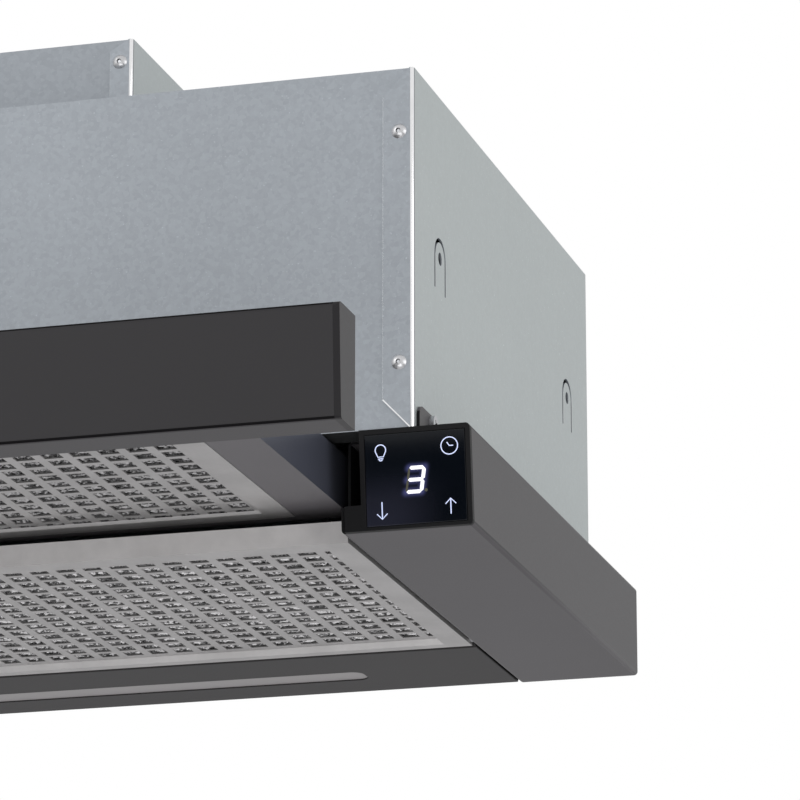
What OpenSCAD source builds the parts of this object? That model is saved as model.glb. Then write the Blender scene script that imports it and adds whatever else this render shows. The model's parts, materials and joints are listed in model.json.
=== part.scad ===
// Pull-out range hood, 60 cm class, shown with its filter tray drawn out.
// Frame: X to the right as seen from the front, Y towards the wall, Z up.
// The origin is under the middle of the hood's bounding box, tray drawn out.

/* [Overall] */
// Width over the two side arms
hood_w = 598; // [560:1:620]
// Depth of the casing, front sheet to rear sheet
body_d = 270; // [260:1:300]
// Height of the casing above the side arms
casing_h = 140; // [134:1:170]
// How far each side arm stands out beside the casing
arm_overhang = 21; // [16:1:24]

/* [Upper box] */
// Width of the raised box that carries the duct collar
tower_w = 308; // [260:1:340]
// Height of the raised box above the casing
tower_h = 36.6; // [34:0.2:60]
// Distance of the raised box behind the casing's front
tower_setback = 35; // [25:1:38]

/* [Sheet metal] */
// Thickness of the folded sheets
sheet_t = 1; // [0.8:0.1:1.2]
// Width of the side sheets' folded flanges
flange_w = 12; // [10:0.5:16]
// Slant cut at the ends of those flanges
flange_cut = 11; // [6:0.5:11]
// Width of the raised box's folded flanges
tower_flange_w = 9.3; // [8:0.1:12]
// Slant cut at the ends of the raised box's flanges
tower_flange_cut = 4.6; // [3:0.1:6]
// Outer radius of the bends
bend_r = 1.6; // [1.4:0.1:2]

/* [Side arms] */
// Width of a side arm
arm_w = 50.6; // [49:0.2:56]
// Height of a side arm
arm_h = 37.2; // [36:0.2:42]
// Distance from the rear end of a side arm to the casing's rear
arm_short = 4; // [2:0.5:8]
// Height of the arms' underside above the fascia's lower edge
arm_lift = 2.6; // [1.5:0.1:4]

/* [Control cap] */
// Width of the cap's face in front of an arm
cap_w = 42.3; // [41:0.1:43]
// How far the face leans back at its foot
cap_lean = 4.5; // [2:0.1:6]
// Width of the foot under the runner opening
cap_foot_w = 6.5; // [4:0.1:7]
// Height of that foot
cap_foot_h = 9.6; // [8:0.1:11]
// Width of the glass
glass_w = 38.1; // [36:0.1:39]

/* [Fascia] */
// Length of the pull-out fascia
fascia_w = 592; // [550:1:614]
// Depth of the fascia
fascia_d = 18.7; // [16:0.1:24]
// Height of the fascia
fascia_h = 40.4; // [39:0.1:44]
// How far its face leans back at its foot
fascia_lean = 2.5; // [0.5:0.1:4]
// Rounding of its front edges
fascia_bend = 1.5; // [1.3:0.1:3]

/* [Tray] */
// Travel of the tray
tray_travel = 134.8; // [110:0.2:135]
// Gap between the closed fascia and the casing
fascia_gap = 1.1; // [0.8:0.1:2]
// Height of the tray's floor above the arms' underside
tray_rise = 14; // [13.5:0.1:15]
// Height of the filter cassettes
cassette_h = 8.4; // [8:0.1:9]
// Width of the lip around a cassette
cassette_lip = 10.4; // [9:0.1:12]

/* [Punched sheets] */
// Distance between window columns
pitch_x = 10.7; // [10:0.1:13]
// Distance between window rows
pitch_y = 9.4; // [9:0.1:13]
// Width of a window
window_w = 7.2; // [6:0.1:8.5]
// Depth of a window
window_d = 6.6; // [5:0.1:8]

/* [Duct] */
// Outside diameter of the duct collar
collar_dia = 149; // [146:0.5:150]
// Height of the duct collar above the raised box
collar_h = 32; // [28:1:50]

/* [Light] */
// Length of the light strip
light_w = 380; // [300:1:420]
// Width of the light strip
light_d = 15; // [12:0.5:18]

/* [Hidden] */
$fn = 64;

// Overrun of a cut past the face that it opens
over = 1;
// Gap of a piece that is set into another
seat = 0.3;
// Radial gap of a running fit
run_gap = 0.05;

// Levels and faces of the frame
arm_z = arm_lift;
deck_z = arm_z + arm_h;
casing_top = deck_z + casing_h;
tower_top = casing_top + tower_h;
front_y = (tray_travel + fascia_gap + fascia_d - body_d) / 2;
rear_y = front_y + body_d;
hood_x = hood_w / 2;
casing_x = hood_x - arm_overhang;
tower_x = tower_w / 2;
tower_y = front_y + tower_setback;
arm_in = hood_x - arm_w;
arm_rear = rear_y - arm_short;

// Rivets and screws
rivet_r = 1.6;
rivet_head_r = 2.9;
rivet_head_h = 1.4;
rivet_hole_r = 0.9;
rivet_edge = 5.8;
rivet_end = 25;
tower_rivet_edge = 5.3;
tower_rivet_end = 9.2;
screw_r = 1.9;
screw_head_r = 3.3;
screw_head_h = 1.8;

// Spring clips punched in the side sheets
clip_inset = 36.4;
clip_rise = 75.4;
clip_r = 8;
clip_slot = 1.6;
clip_leg = 13;
clip_hole_r = 2.5;

// Tabs that stand up from the arms beside the casing
tab_t = 1.2;
tab_d = 25;
tab_h = 9.3;
tab_inset = 3.5;
tab_round = 4;
tab_screw_y = 16;
tab_screw_z = 5.6;

// Cap pieces
cap_rim = 2.5;
cap_left = hood_x - cap_w;
cap_notch = 15;
plug_d = 12;
plug_t = 1.6;
glass_t = 1.4;
glass_side = 2;
glass_head = 2.2;
glass_foot = 1.4;
board_t = 1.6;
board_w = 34;
board_h = 28;
display_w = 12.6;
display_h = 19;

// Sheet lips
lip_w = 14;
tower_lip = 5;

// Rear bar and lamp
bar_d = 69.3;
bar_front = arm_rear - bar_d;
bar_wall_h = 22;
bar_seam = 0.5;
light_inset = 31.6;
light_y = bar_front + light_inset;
light_round = 5;
lens_recess = 0.5;
diffuser_t = 2;
diffuser_rim = 2;
lamp_h = 12;
led_w = 10;
led_t = 1.6;
led_size = 3;
led_count = 12;

// Tray
fascia_rear = front_y - fascia_gap - tray_travel;
fascia_front = fascia_rear - fascia_d;
fascia_x = fascia_w / 2;
fascia_t = 1.2;
fascia_lip = 6;
fascia_low_lip = 28;
fascia_screw_shares = [-0.75, -0.25, 0.25, 0.75];
end_cap_t = 2.4;
end_plug = 9;
tray_side_gap = 4.1;
tray_z = arm_z + tray_rise;
tray_x = arm_in - tray_side_gap;
tray_head_gap = 2;
tray_head = deck_z - tray_head_gap;
tray_reach = 34;
tray_rear = front_y + tray_reach;
tray_channel = 20.4;
tray_wall_h = 9;
tray_t = 1;

// Cassettes
filter_recess = 2.4;
tray_recess = 1.05;
punch_t = 0.6;
cassette_t = 0.8;
tray_filter_x = tray_x - tray_channel;
tray_filter_inset = 14.2;
tray_filter_front = fascia_rear + tray_filter_inset;
tray_filter_reach = 29.5;
tray_filter_rear = front_y + tray_filter_reach;
filter_side_gap = 1.4;
filter_x = arm_in - filter_side_gap;
filter_inset = 19.6;
filter_front = front_y + filter_inset;
filter_rear_gap = 1.5;
filter_rear = bar_front - filter_rear_gap;
filter_foot_gap = 0.1;
filter_z = arm_z + filter_foot_gap;
filter_rear_lip = 5.4;
tray_rear_lip = 8.2;
cassette_flank = 1.2;
cassette_top_lip = 7;
punch_edge = 1.5;
tray_row_inset = 8.8;
tray_column_share = 0.34;
filter_row_inset = 14.6;

// Hinge pins of the swinging cassette
hinge_r = 1.2;
hinge_inset = 2.2;
hinge_rise = 2.3;
hinge_reach = 2.3;
hinge_tail = 0.2;

// Catch of the swinging cassette
cup_w = 56;
cup_d = 24;
cup_t = 1.4;
cup_inset = 6;
cup_y = filter_front + cassette_lip + cup_inset;
cup_head = filter_z + cassette_h;
ledge_w = 1.5;
ledge_h = 1.2;
slider_d = 14.5;
ridge_t = 2;
stem_w = 16;
stem_t = 3;
nose_t = 1.4;
nose_lap = 4;
catch_travel = 6;
keeper_d = 14;
keeper_t = 1.8;
keeper_gap = 0.5;
keeper_lap = 9;
keeper_rear = cup_y + keeper_lap;
keeper_z = cup_head + keeper_gap;
stem_clear = 1.2;
stem_y = keeper_rear + stem_clear;

// Telescopic runners
rail_t = 1.2;
rail_bend = 2;
rail_gap = 0.35;
rail_h = 17;
rail_len = 150;
rail_inset = 8;
runner_w = 12.3;
rail_rise = 1.2;
rail_y = front_y + rail_inset;
rail_z = tray_z + tray_t + rail_rise;
rail_wall = tray_x - tray_t;
outer_rail_x = rail_wall - runner_w;
outer_rail_w = 9.4;
middle_rail_w = 9.1;
inner_rail_w = 7.6;
carrier_t = 1.2;
carrier_rise = 13;
carrier_y = front_y + sheet_t + lip_w + seat;

// Blower
duct_y = (tower_y + rear_y) / 2;
outlet_w = 96;
scroll_t = 2;
scroll_half = 56;
scroll_r0 = 74;
scroll_r1 = 96;
scroll_steps = 27;
scroll_foot = 4;
scroll_turn = 270;
blower_y = duct_y - outlet_w / 2;
blower_z = deck_z + scroll_foot + scroll_radius(180);
inlet_r = 52;
inlet_lip = 4;
wheel_r = 65;
wheel_in = 53;
wheel_half = 44;
wheel_disc = 2.4;
ring_t = 2;
blade_t = 1.2;
blade_bow = 16;
blade_count = 32;
hub_r = 11;
hub_half = 9;
shaft_r = 4;
shaft_tip = 12;
motor_r = 36;
motor_x0 = -66;
motor_x1 = -16;
motor_boss_r = 13;
motor_boss = 3;
bracket_t = 2.5;
bracket_ring = 4;
bracket_band = 10;
bracket_arm_w = 12;

// Duct collar and flaps
collar_r = collar_dia / 2;
collar_t = 2.2;
collar_in = collar_r - collar_t;
collar_flange_w = 8;
collar_flange_r = collar_r + collar_flange_w;
collar_flange_t = 2.4;
collar_stop = 6;
collar_stop_w = 4;
axle_r = 1.5;
axle_rise = 9.5;
axle_z = tower_top + axle_rise;
axle_seat = 1.4;
knuckle_r = 3.2;
knuckle_l = 20;
knuckle_gap = 0.6;
knuckle_pitch = knuckle_l + knuckle_gap;
flap_t = 1.4;
flap_gap = 0.8;
flap_root = 4;

// Control unit and gland in the roof
unit_w = 110;
unit_d = 70;
unit_h = 38;
unit_side = 40;
unit_x = casing_x - unit_side - unit_w;
unit_inset = 150;
unit_y = rear_y - unit_inset;
unit_lid = 2.4;
unit_rim = 1.6;
gland_share = 0.41129;
gland_x = tower_x + gland_share * (casing_x - tower_x);
gland_inset = 42;
gland_y = rear_y - gland_inset;
gland_r = 6;
gland_sides = 6;
gland_bore = 3.6;
gland_nut_r = 9.5;
gland_nut_h = 6;
gland_h = 15;
gland_tail = 8;

function scroll_radius(a) = scroll_r0 + (scroll_r1 - scroll_r0) * a / scroll_turn;
function scroll_path(wall) = [
    for (i = [0 : scroll_steps])
        let (a = scroll_turn * i / scroll_steps, r = scroll_radius(a) - wall)
        [blower_y - r * sin(a), blower_z + r * cos(a)]];

// A box between two limits on each axis
module block(x, y, z)
    translate([x[0], y[0], z[0]])
        cube([x[1] - x[0], y[1] - y[0], z[1] - z[0]]);

// A flat outline in X and Z, given a thickness along Y
module upright(y0, t)
    translate([0, y0 + t, 0])
        rotate([90, 0, 0])
            linear_extrude(t)
                children();

// A flat outline in Y and Z, given a thickness along X
module across(x0, t)
    translate([x0, 0, 0])
        rotate([90, 0, 90])
            linear_extrude(t)
                children();

// A round bar along X
module bar_x(x0, x1, r)
    translate([x0, 0, 0])
        rotate([0, 90, 0])
            cylinder(h = x1 - x0, r = r);

// Rectangle with round corners, centred on X, from zero along Y
module rounded(w, d, r)
    translate([0, d / 2])
        union() {
            square([w - 2 * r, d], center = true);
            square([w, d - 2 * r], center = true);
            for (x = [-1, 1], y = [-1, 1])
                translate([x * (w / 2 - r), y * (d / 2 - r)])
                    circle(r = r);
        }

// Section of a sheet folded up at both sides: web along X, walls up to h
module channel(w, h, t, r)
    intersection() {
        difference() {
            rounded(w, 2 * h, r);
            translate([0, t])
                rounded(w - 2 * t, 2 * h, r - t);
        }
        translate([-w / 2, 0])
            square([w, h]);
    }

// The right-hand piece, or its mirror image on the left
module handed(side)
    mirror([side < 0 ? 1 : 0, 0, 0])
        children();

// Casing

// Inverted U slot that frees a spring clip, with the clip's screw hole
module clip_cut() {
    in = clip_r - clip_slot;
    difference() {
        union() {
            circle(r = clip_r);
            translate([-clip_r, -clip_leg])
                square([2 * clip_r, clip_leg]);
        }
        circle(r = in);
        translate([-in, -clip_leg - over])
            square([2 * in, clip_leg + over]);
    }
    circle(r = clip_hole_r);
}

// Web with a flange folded in at the front and rear; the flanges end in slants
module folded_side(x, w, cut, y, z) {
    run = w + over - bend_r;
    slope = cut / (w - bend_r);
    difference() {
        translate([x, (y[0] + y[1]) / 2, z[0]])
            linear_extrude(z[1] - z[0])
                rotate(90)
                    channel(y[1] - y[0], w, sheet_t, bend_r);
        for (e = [[z[0], 1], [z[1], -1]])
            upright(y[0] - over, y[1] - y[0] + 2 * over)
                polygon([
                    [x - bend_r, e[0]],
                    [x - bend_r - run, e[0] + e[1] * slope * run],
                    [x - bend_r - run, e[0] - e[1] * over],
                    [x - bend_r, e[0] - e[1] * over]]);
    }
}

casing_rivet_at = [for (z = [deck_z + rivet_end, casing_top - rivet_end]) [casing_x - rivet_edge, z]];
tower_rivet_at = [[tower_x - tower_rivet_edge, tower_top - tower_rivet_end]];

module side_sheet(side)
    color("lightsteelblue")
    handed(side)
        difference() {
            folded_side(casing_x, flange_w, flange_cut, [front_y, rear_y], [deck_z, casing_top]);
            rivet_holes(casing_rivet_at, front_y);
            across(casing_x - sheet_t - over, sheet_t + 2 * over) {
                for (y = [front_y + clip_inset, rear_y - clip_inset])
                    translate([y, deck_z + clip_rise])
                        clip_cut();
                for (y = tab_screws)
                    translate([y, deck_z + tab_screw_z])
                        circle(r = screw_r);
            }
        }

module rivet_holes(places, y)
    for (p = places, s = [-1, 1])
        translate([s * p[0], y - over, p[1]])
            rotate([-90, 0, 0])
                cylinder(h = sheet_t + 2 * over, r = rivet_r);

module front_sheet() {
    x = casing_x - bend_r;
    y = front_y + sheet_t;
    color("lightsteelblue")
    difference() {
        union() {
            block([-x, x], [y, y + sheet_t], [deck_z, casing_top]);
            block([-x, x], [y, y + lip_w], [deck_z, deck_z + sheet_t]);
        }
        rivet_holes(casing_rivet_at, y);
    }
}

module rear_sheet() {
    x = casing_x - bend_r;
    tx = tower_x - bend_r;
    color("lightsteelblue")
    upright(rear_y - 2 * sheet_t, sheet_t)
        polygon([[-x, deck_z], [x, deck_z], [x, casing_top], [tx, casing_top],
            [tx, tower_top], [-tx, tower_top], [-tx, casing_top], [-x, casing_top]]);
}

module top_sheet() {
    x = casing_x - sheet_t;
    y = [front_y + 2 * sheet_t, rear_y - 2 * sheet_t];
    color("lightsteelblue")
    difference() {
        block([-x, x], y, [casing_top - sheet_t, casing_top]);
        block([-tower_x + tower_lip, tower_x - tower_lip],
            [tower_y + tower_lip, y[1] - tower_lip],
            [casing_top - sheet_t - over, casing_top + over]);
        translate([gland_x, gland_y, casing_top - sheet_t - over])
            cylinder(h = sheet_t + 2 * over, r = gland_r);
    }
}

module tower_side(side)
    color("lightsteelblue")
    handed(side)
        difference() {
            folded_side(tower_x, tower_flange_w, tower_flange_cut, [tower_y, rear_y], [casing_top, tower_top]);
            rivet_holes(tower_rivet_at, tower_y);
        }

module tower_front() {
    x = tower_x - bend_r;
    y = tower_y + sheet_t;
    color("lightsteelblue")
    difference() {
        block([-x, x], [y, y + sheet_t], [casing_top, tower_top]);
        rivet_holes(tower_rivet_at, y);
    }
}

module tower_top_sheet() {
    x = tower_x - sheet_t;
    color("lightsteelblue")
    difference() {
        block([-x, x], [tower_y + 2 * sheet_t, rear_y - 2 * sheet_t], [tower_top - sheet_t, tower_top]);
        translate([0, duct_y, tower_top - sheet_t - over])
            cylinder(h = sheet_t + 2 * over, r = collar_in - collar_stop_w);
    }
}

// Blind rivet: dome head, shank through both sheets, hole left by its mandrel
module rivet()
    rotate_extrude()
        difference() {
            union() {
                intersection() {
                    translate([0, rivet_head_h - rivet_dome_r])
                        circle(r = rivet_dome_r);
                    square([rivet_head_r, rivet_head_h]);
                }
                translate([0, -2 * sheet_t])
                    square([rivet_r, 2 * sheet_t]);
            }
            translate([-over, -2 * sheet_t - over])
                square([over + rivet_hole_r, 2 * sheet_t + rivet_head_h + 2 * over]);
        }
rivet_dome_r = (rivet_head_r * rivet_head_r + rivet_head_h * rivet_head_h) / (2 * rivet_head_h);

module casing_rivets()
    color("silver")
    for (s = [-1, 1]) {
        for (p = casing_rivet_at)
            translate([s * p[0], front_y, p[1]])
                rotate([90, 0, 0])
                    rivet();
        for (p = tower_rivet_at)
            translate([s * p[0], tower_y, p[1]])
                rotate([90, 0, 0])
                    rivet();
    }

// Side arms and what closes them

tab_screws = [front_y + tab_inset + tab_screw_y, arm_rear - tab_inset - tab_screw_y];

// Outline of a part of the arm between its leaning front and a rear limit
module arm_outline(lead, rear, z0, z1)
    polygon([
        [front_y + lead + cap_lean * (deck_z - z1) / arm_h, z1],
        [front_y + lead + cap_lean * (deck_z - z0) / arm_h, z0],
        [rear, z0], [rear, z1]]);

module arm_tab(y0)
    difference() {
        across(casing_x, tab_t)
            difference() {
                translate([y0, deck_z - sheet_t / 2])
                    square([tab_d, tab_h + sheet_t / 2]);
                for (e = [[y0, 1], [y0 + tab_d, -1]])
                    translate([e[0], deck_z + tab_h])
                        difference() {
                            translate([e[1] > 0 ? 0 : -tab_round, -tab_round])
                                square(tab_round);
                            translate([e[1] * tab_round, -tab_round])
                                circle(r = tab_round);
                        }
            }
        for (y = tab_screws)
            translate([casing_x - over, y, deck_z + tab_screw_z])
                bar_x(0, tab_t + 2 * over, screw_r);
    }

// Section of an arm with its cap, rounded along the edges
module arm_section(t)
    upright(front_y - over, t)
        translate([hood_x - arm_w / 2, arm_z])
            rounded(arm_w, arm_h, bend_r);

module arm(side)
    color("dimgray")
    handed(side) {
        difference() {
            intersection() {
                across(arm_in, arm_w)
                    arm_outline(cap_rim, arm_rear, arm_z, deck_z);
                arm_section(body_d);
            }
            across(arm_in + sheet_t, arm_w - 2 * sheet_t)
                arm_outline(-over, arm_rear - sheet_t, arm_z + sheet_t, deck_z - sheet_t);
            block([arm_in - over, cap_left], [front_y - over, front_y + cap_notch],
                [arm_z + cap_foot_h, deck_z + over]);
            translate([arm_in - over, filter_rear - hinge_inset, filter_z + hinge_rise])
                bar_x(0, sheet_t + 2 * over, hinge_r + run_gap);
        }
        arm_tab(front_y + tab_inset);
        arm_tab(arm_rear - tab_inset - tab_d);
    }

module arm_screws()
    color("silver")
    for (s = [-1, 1], y = tab_screws)
        handed(s)
            translate([casing_x, y, deck_z + tab_screw_z]) {
                bar_x(tab_t, tab_t + screw_head_h, screw_head_r);
                bar_x(-sheet_t, tab_t, screw_r);
            }

// Face plate of a cap: a slab that leans back towards its foot
module cap_slab(x, z, front, t)
    across(x[0], x[1] - x[0])
        polygon([
            [front_y + front + cap_lean * (deck_z - z[1]) / arm_h, z[1]],
            [front_y + front + cap_lean * (deck_z - z[0]) / arm_h, z[0]],
            [front_y + front + t + cap_lean * (deck_z - z[0]) / arm_h, z[0]],
            [front_y + front + t + cap_lean * (deck_z - z[1]) / arm_h, z[1]]]);

glass_x = [hood_x - glass_side - glass_w, hood_x - glass_side];
glass_z = [arm_z + glass_foot, deck_z - glass_head];
glass_mid_x = (glass_x[0] + glass_x[1]) / 2;
glass_mid_z = (glass_z[0] + glass_z[1]) / 2;

// Collar behind the face that fits the arm's mouth
module cap_plug()
    difference() {
        block([cap_left + seat, hood_x - sheet_t - seat], [front_y + cap_rim, front_y + cap_rim + cap_lean + plug_d],
            [arm_z + sheet_t + seat, deck_z - sheet_t - seat]);
        block([cap_left + seat + plug_t, hood_x - sheet_t - seat - plug_t],
            [front_y, front_y + cap_rim + cap_lean + plug_d + over],
            [arm_z + sheet_t + seat + plug_t, deck_z - sheet_t - seat - plug_t]);
        cap_slab([cap_left - over, hood_x + over], [arm_z - over, deck_z + over],
            -cap_lean - over, cap_lean + over + cap_rim);
    }

module cap_face() {
    intersection() {
        union() {
            cap_slab([cap_left, hood_x], [arm_z, deck_z], 0, cap_rim);
            cap_slab([cap_left - cap_foot_w, cap_left + over], [arm_z, arm_z + cap_foot_h], 0, cap_rim);
        }
        arm_section(cap_notch);
    }
    cap_plug();
}

module control_cap()
    color("black")
    difference() {
        cap_face();
        cap_slab([glass_x[0] - seat / 2, glass_x[1] + seat / 2], [glass_z[0] - seat / 2, glass_z[1] + seat / 2],
            -over, over + glass_t);
        block([glass_mid_x - board_w / 2, glass_mid_x + board_w / 2], [front_y - over, front_y + plug_d],
            [glass_mid_z - board_h / 2, glass_mid_z + board_h / 2]);
    }

module control_glass()
    color("black")
    cap_slab(glass_x, glass_z, 0, glass_t);

module blank_cap()
    color("black")
    handed(-1)
        cap_face();

board_y = front_y + plug_d;
module control_board()
    color("darkgreen")
    block([glass_mid_x - board_w / 2, glass_mid_x + board_w / 2], [board_y, board_y + board_t],
        [arm_z + sheet_t + seat + plug_t, deck_z - sheet_t - seat - plug_t]);

// Seven-segment display that meets the back of the glass
module display_module()
    color("ivory")
    across(glass_mid_x - display_w / 2, display_w)
        polygon([
            [glass_back(glass_mid_z + display_h / 2), glass_mid_z + display_h / 2],
            [glass_back(glass_mid_z - display_h / 2), glass_mid_z - display_h / 2],
            [board_y, glass_mid_z - display_h / 2],
            [board_y, glass_mid_z + display_h / 2]]);
function glass_back(z) = front_y + glass_t + cap_lean * (deck_z - z) / arm_h;

// Rear bar with the light

module rear_bar()
    color("dimgray")
    difference() {
        across(-arm_in, 2 * arm_in)
            translate([(bar_front + arm_rear) / 2, arm_z])
                channel(arm_rear - bar_front, arm_h, sheet_t, bend_r);
        block([-hood_x, hood_x], [bar_front - over, bar_front + bend_r + over], [arm_z + bar_wall_h, deck_z + over]);
        for (s = [-1, 1])
            handed(s)
                block([arm_in - bar_seam, arm_in + over], [bar_front - over, arm_rear + over],
                    [arm_z - over, arm_z + bar_wall_h]);
        translate([0, light_y, arm_z - over])
            linear_extrude(sheet_t + 2 * over)
                rounded(light_w, light_d, light_round);
    }

// Lens that fills the slot, with a rim that rests on the bar's floor
module light_diffuser()
    color("white") {
        translate([0, light_y, arm_z + lens_recess])
            linear_extrude(sheet_t - lens_recess)
                rounded(light_w, light_d, light_round);
        translate([0, light_y - diffuser_rim, arm_z + sheet_t])
            linear_extrude(diffuser_t)
                rounded(light_w + 2 * diffuser_rim, light_d + 2 * diffuser_rim, light_round + diffuser_rim);
    }

lamp_z = arm_z + sheet_t + diffuser_t;
module lamp_housing() {
    x = light_w / 2 + diffuser_rim;
    y = [light_y - diffuser_rim, light_y + light_d + diffuser_rim];
    color("gainsboro")
    difference() {
        block([-x, x], y, [lamp_z, lamp_z + lamp_h]);
        block([-x + sheet_t, x - sheet_t], [y[0] + sheet_t, y[1] - sheet_t], [lamp_z - over, lamp_z + lamp_h - sheet_t]);
    }
}

module led_board() {
    z = lamp_z + lamp_h - sheet_t - led_t;
    y = light_y + light_d / 2;
    color("white") {
        block([-light_w / 2 + light_round, light_w / 2 - light_round], [y - led_w / 2, y + led_w / 2], [z, z + led_t]);
        for (i = [0 : led_count - 1])
            translate([(i + 0.5 - led_count / 2) * (light_w - 2 * led_w) / led_count, y, z - led_t / 2])
                cube([led_size, led_size, led_t], center = true);
    }
}

// Telescopic runners

// Channel of a runner, open towards +X or -X, nested by its step
module rail_channel(x0, w, step, open, y0) {
    inset = step * (rail_t + rail_gap);
    upright(y0, rail_len)
        translate([open > 0 ? x0 : x0 + w, rail_z + rail_h / 2])
            rotate(-open * 90)
                channel(rail_h - 2 * inset, w, rail_t, rail_bend);
}

module outer_rail(side)
    color("silver")
    handed(side)
        rail_channel(outer_rail_x, outer_rail_w, 0, 1, rail_y);

module middle_rail(side)
    color("silver")
    handed(side)
        rail_channel(outer_rail_x + rail_t + rail_gap, middle_rail_w, 1, 1, rail_y - tray_travel / 2);

module inner_rail(side)
    color("silver")
    handed(side)
        rail_channel(rail_wall - inner_rail_w, inner_rail_w, 2, -1, rail_y - tray_travel);

// Bracket that hangs the fixed rail from the casing's side sheet
module runner_carrier(side) {
    x = [outer_rail_x - carrier_t, casing_x - sheet_t];
    z = deck_z + carrier_rise;
    color("lightsteelblue")
    handed(side)
        upright(carrier_y, rail_y + rail_len - carrier_y)
            union() {
                translate([x[0], rail_z])
                    square([carrier_t, z + carrier_t - rail_z]);
                translate([x[0], z])
                    square([x[1] - x[0], carrier_t]);
                translate([x[1] - carrier_t, deck_z])
                    square([carrier_t, carrier_rise]);
            }
}

// Blower

module scroll_half_shell(side)
    color("whitesmoke")
    handed(side) {
        across(0, scroll_half)
            difference() {
                polygon(concat(scroll_path(0), [
                    [blower_y + scroll_r1, tower_top - sheet_t],
                    [blower_y, tower_top - sheet_t]]));
                polygon(concat(scroll_path(scroll_t), [
                    [blower_y + scroll_r1 - scroll_t, tower_top + over],
                    [blower_y + scroll_t, tower_top + over],
                    [blower_y + scroll_t, blower_z + scroll_r0 - scroll_t]]));
            }
        across(scroll_half - scroll_t, scroll_t)
            difference() {
                polygon(concat(scroll_path(0), [
                    [blower_y + scroll_r1, tower_top - sheet_t],
                    [blower_y, tower_top - sheet_t]]));
                translate([blower_y, blower_z])
                    circle(r = inlet_r);
            }
        translate([0, blower_y, blower_z])
            across(scroll_half, inlet_lip)
                difference() {
                    circle(r = inlet_r + scroll_t);
                    circle(r = inlet_r);
                }
    }

// One forward-curved blade: a bowed strip between the wheel's inner and outer radius
module blade()
    intersection() {
        difference() {
            circle(r = wheel_r);
            circle(r = wheel_in);
        }
        translate([wheel_in - blade_t, -blade_bow])
            difference() {
                circle(r = blade_bow + blade_t / 2);
                circle(r = blade_bow - blade_t / 2);
            }
        translate([0, -blade_bow])
            square([2 * wheel_r, 2 * blade_bow]);
    }

module fan_wheel()
    color("whitesmoke")
    translate([0, blower_y, blower_z])
        difference() {
            union() {
                across(-wheel_half, 2 * wheel_half)
                    for (i = [0 : blade_count - 1])
                        rotate(i * 360 / blade_count)
                            blade();
                bar_x(-wheel_disc / 2, wheel_disc / 2, wheel_r);
                for (x = [-wheel_half, wheel_half - ring_t])
                    across(x, ring_t)
                        difference() {
                            circle(r = wheel_r + ring_t / 2);
                            circle(r = wheel_in);
                        }
                bar_x(-hub_half, hub_half, hub_r);
            }
            bar_x(-hub_half - over, hub_half + over, shaft_r);
        }

module fan_shaft()
    color("silver")
    translate([0, blower_y, blower_z])
        bar_x(motor_x0 + motor_boss, shaft_tip, shaft_r);

module motor()
    color("gray")
    translate([0, blower_y, blower_z])
        difference() {
            union() {
                bar_x(motor_x0, motor_x1 - motor_boss, motor_r);
                bar_x(motor_x1 - motor_boss, motor_x1, motor_boss_r);
            }
            bar_x(motor_x0 + motor_boss - run_gap, motor_x1 + over, shaft_r + run_gap);
        }

module motor_bracket()
    color("silver")
    translate([0, blower_y, blower_z]) {
        across(-scroll_half - inlet_lip - bracket_t, bracket_t)
            difference() {
                union() {
                    circle(r = motor_r + bracket_ring);
                    for (a = [90, 210, 330])
                        rotate(a)
                            translate([0, -bracket_arm_w / 2])
                                square([inlet_r + scroll_t, bracket_arm_w]);
                }
                circle(r = motor_r);
            }
        across(-scroll_half - inlet_lip, bracket_band)
            difference() {
                circle(r = motor_r + bracket_ring);
                circle(r = motor_r);
            }
    }

// Duct collar, its axle and the two flaps

module duct_collar()
    color("black")
    translate([0, duct_y, tower_top])
        difference() {
            union() {
                cylinder(h = collar_flange_t, r = collar_flange_r);
                cylinder(h = collar_h, r = collar_r);
            }
            translate([0, 0, -over])
                cylinder(h = collar_stop + over, r = collar_in - collar_stop_w);
            translate([0, 0, collar_stop])
                cylinder(h = collar_h, r = collar_in);
            translate([0, 0, axle_rise])
                bar_x(-collar_in - axle_seat, collar_in + axle_seat, axle_r);
        }

module flap_axle()
    color("silver")
    translate([0, duct_y, axle_z])
        bar_x(-collar_in - axle_seat, collar_in + axle_seat, axle_r);

// Half-round flap; its knuckles on the axle take turns with the other flap's
module flap(side)
    color("black")
    translate([0, duct_y, axle_z])
        mirror([0, side < 0 ? 1 : 0, 0])
            difference() {
                union() {
                    translate([0, 0, -knuckle_r])
                        linear_extrude(flap_t)
                            intersection() {
                                circle(r = collar_in - flap_gap);
                                translate([-collar_r, flap_root])
                                    square([2 * collar_r, collar_r]);
                            }
                    for (i = side > 0 ? [-1, 1] : [-2, 0]) {
                        x = i * knuckle_pitch + knuckle_gap / 2;
                        bar_x(x, x + knuckle_l, knuckle_r);
                        block([x, x + knuckle_l], [0, flap_root + over], [-knuckle_r, -knuckle_r + flap_t]);
                    }
                }
                bar_x(-collar_r, collar_r, axle_r + run_gap);
            }

// Control unit under the roof, and the gland for the supply cable

module control_unit()
    color("lightgray") {
        difference() {
            block([unit_x, unit_x + unit_w], [unit_y, unit_y + unit_d], [casing_top - sheet_t - unit_h, casing_top - sheet_t]);
            block([unit_x + unit_rim, unit_x + unit_w - unit_rim], [unit_y + unit_rim, unit_y + unit_d - unit_rim],
                [casing_top - sheet_t - unit_h + unit_lid, casing_top - sheet_t - unit_rim]);
        }
    }

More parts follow.
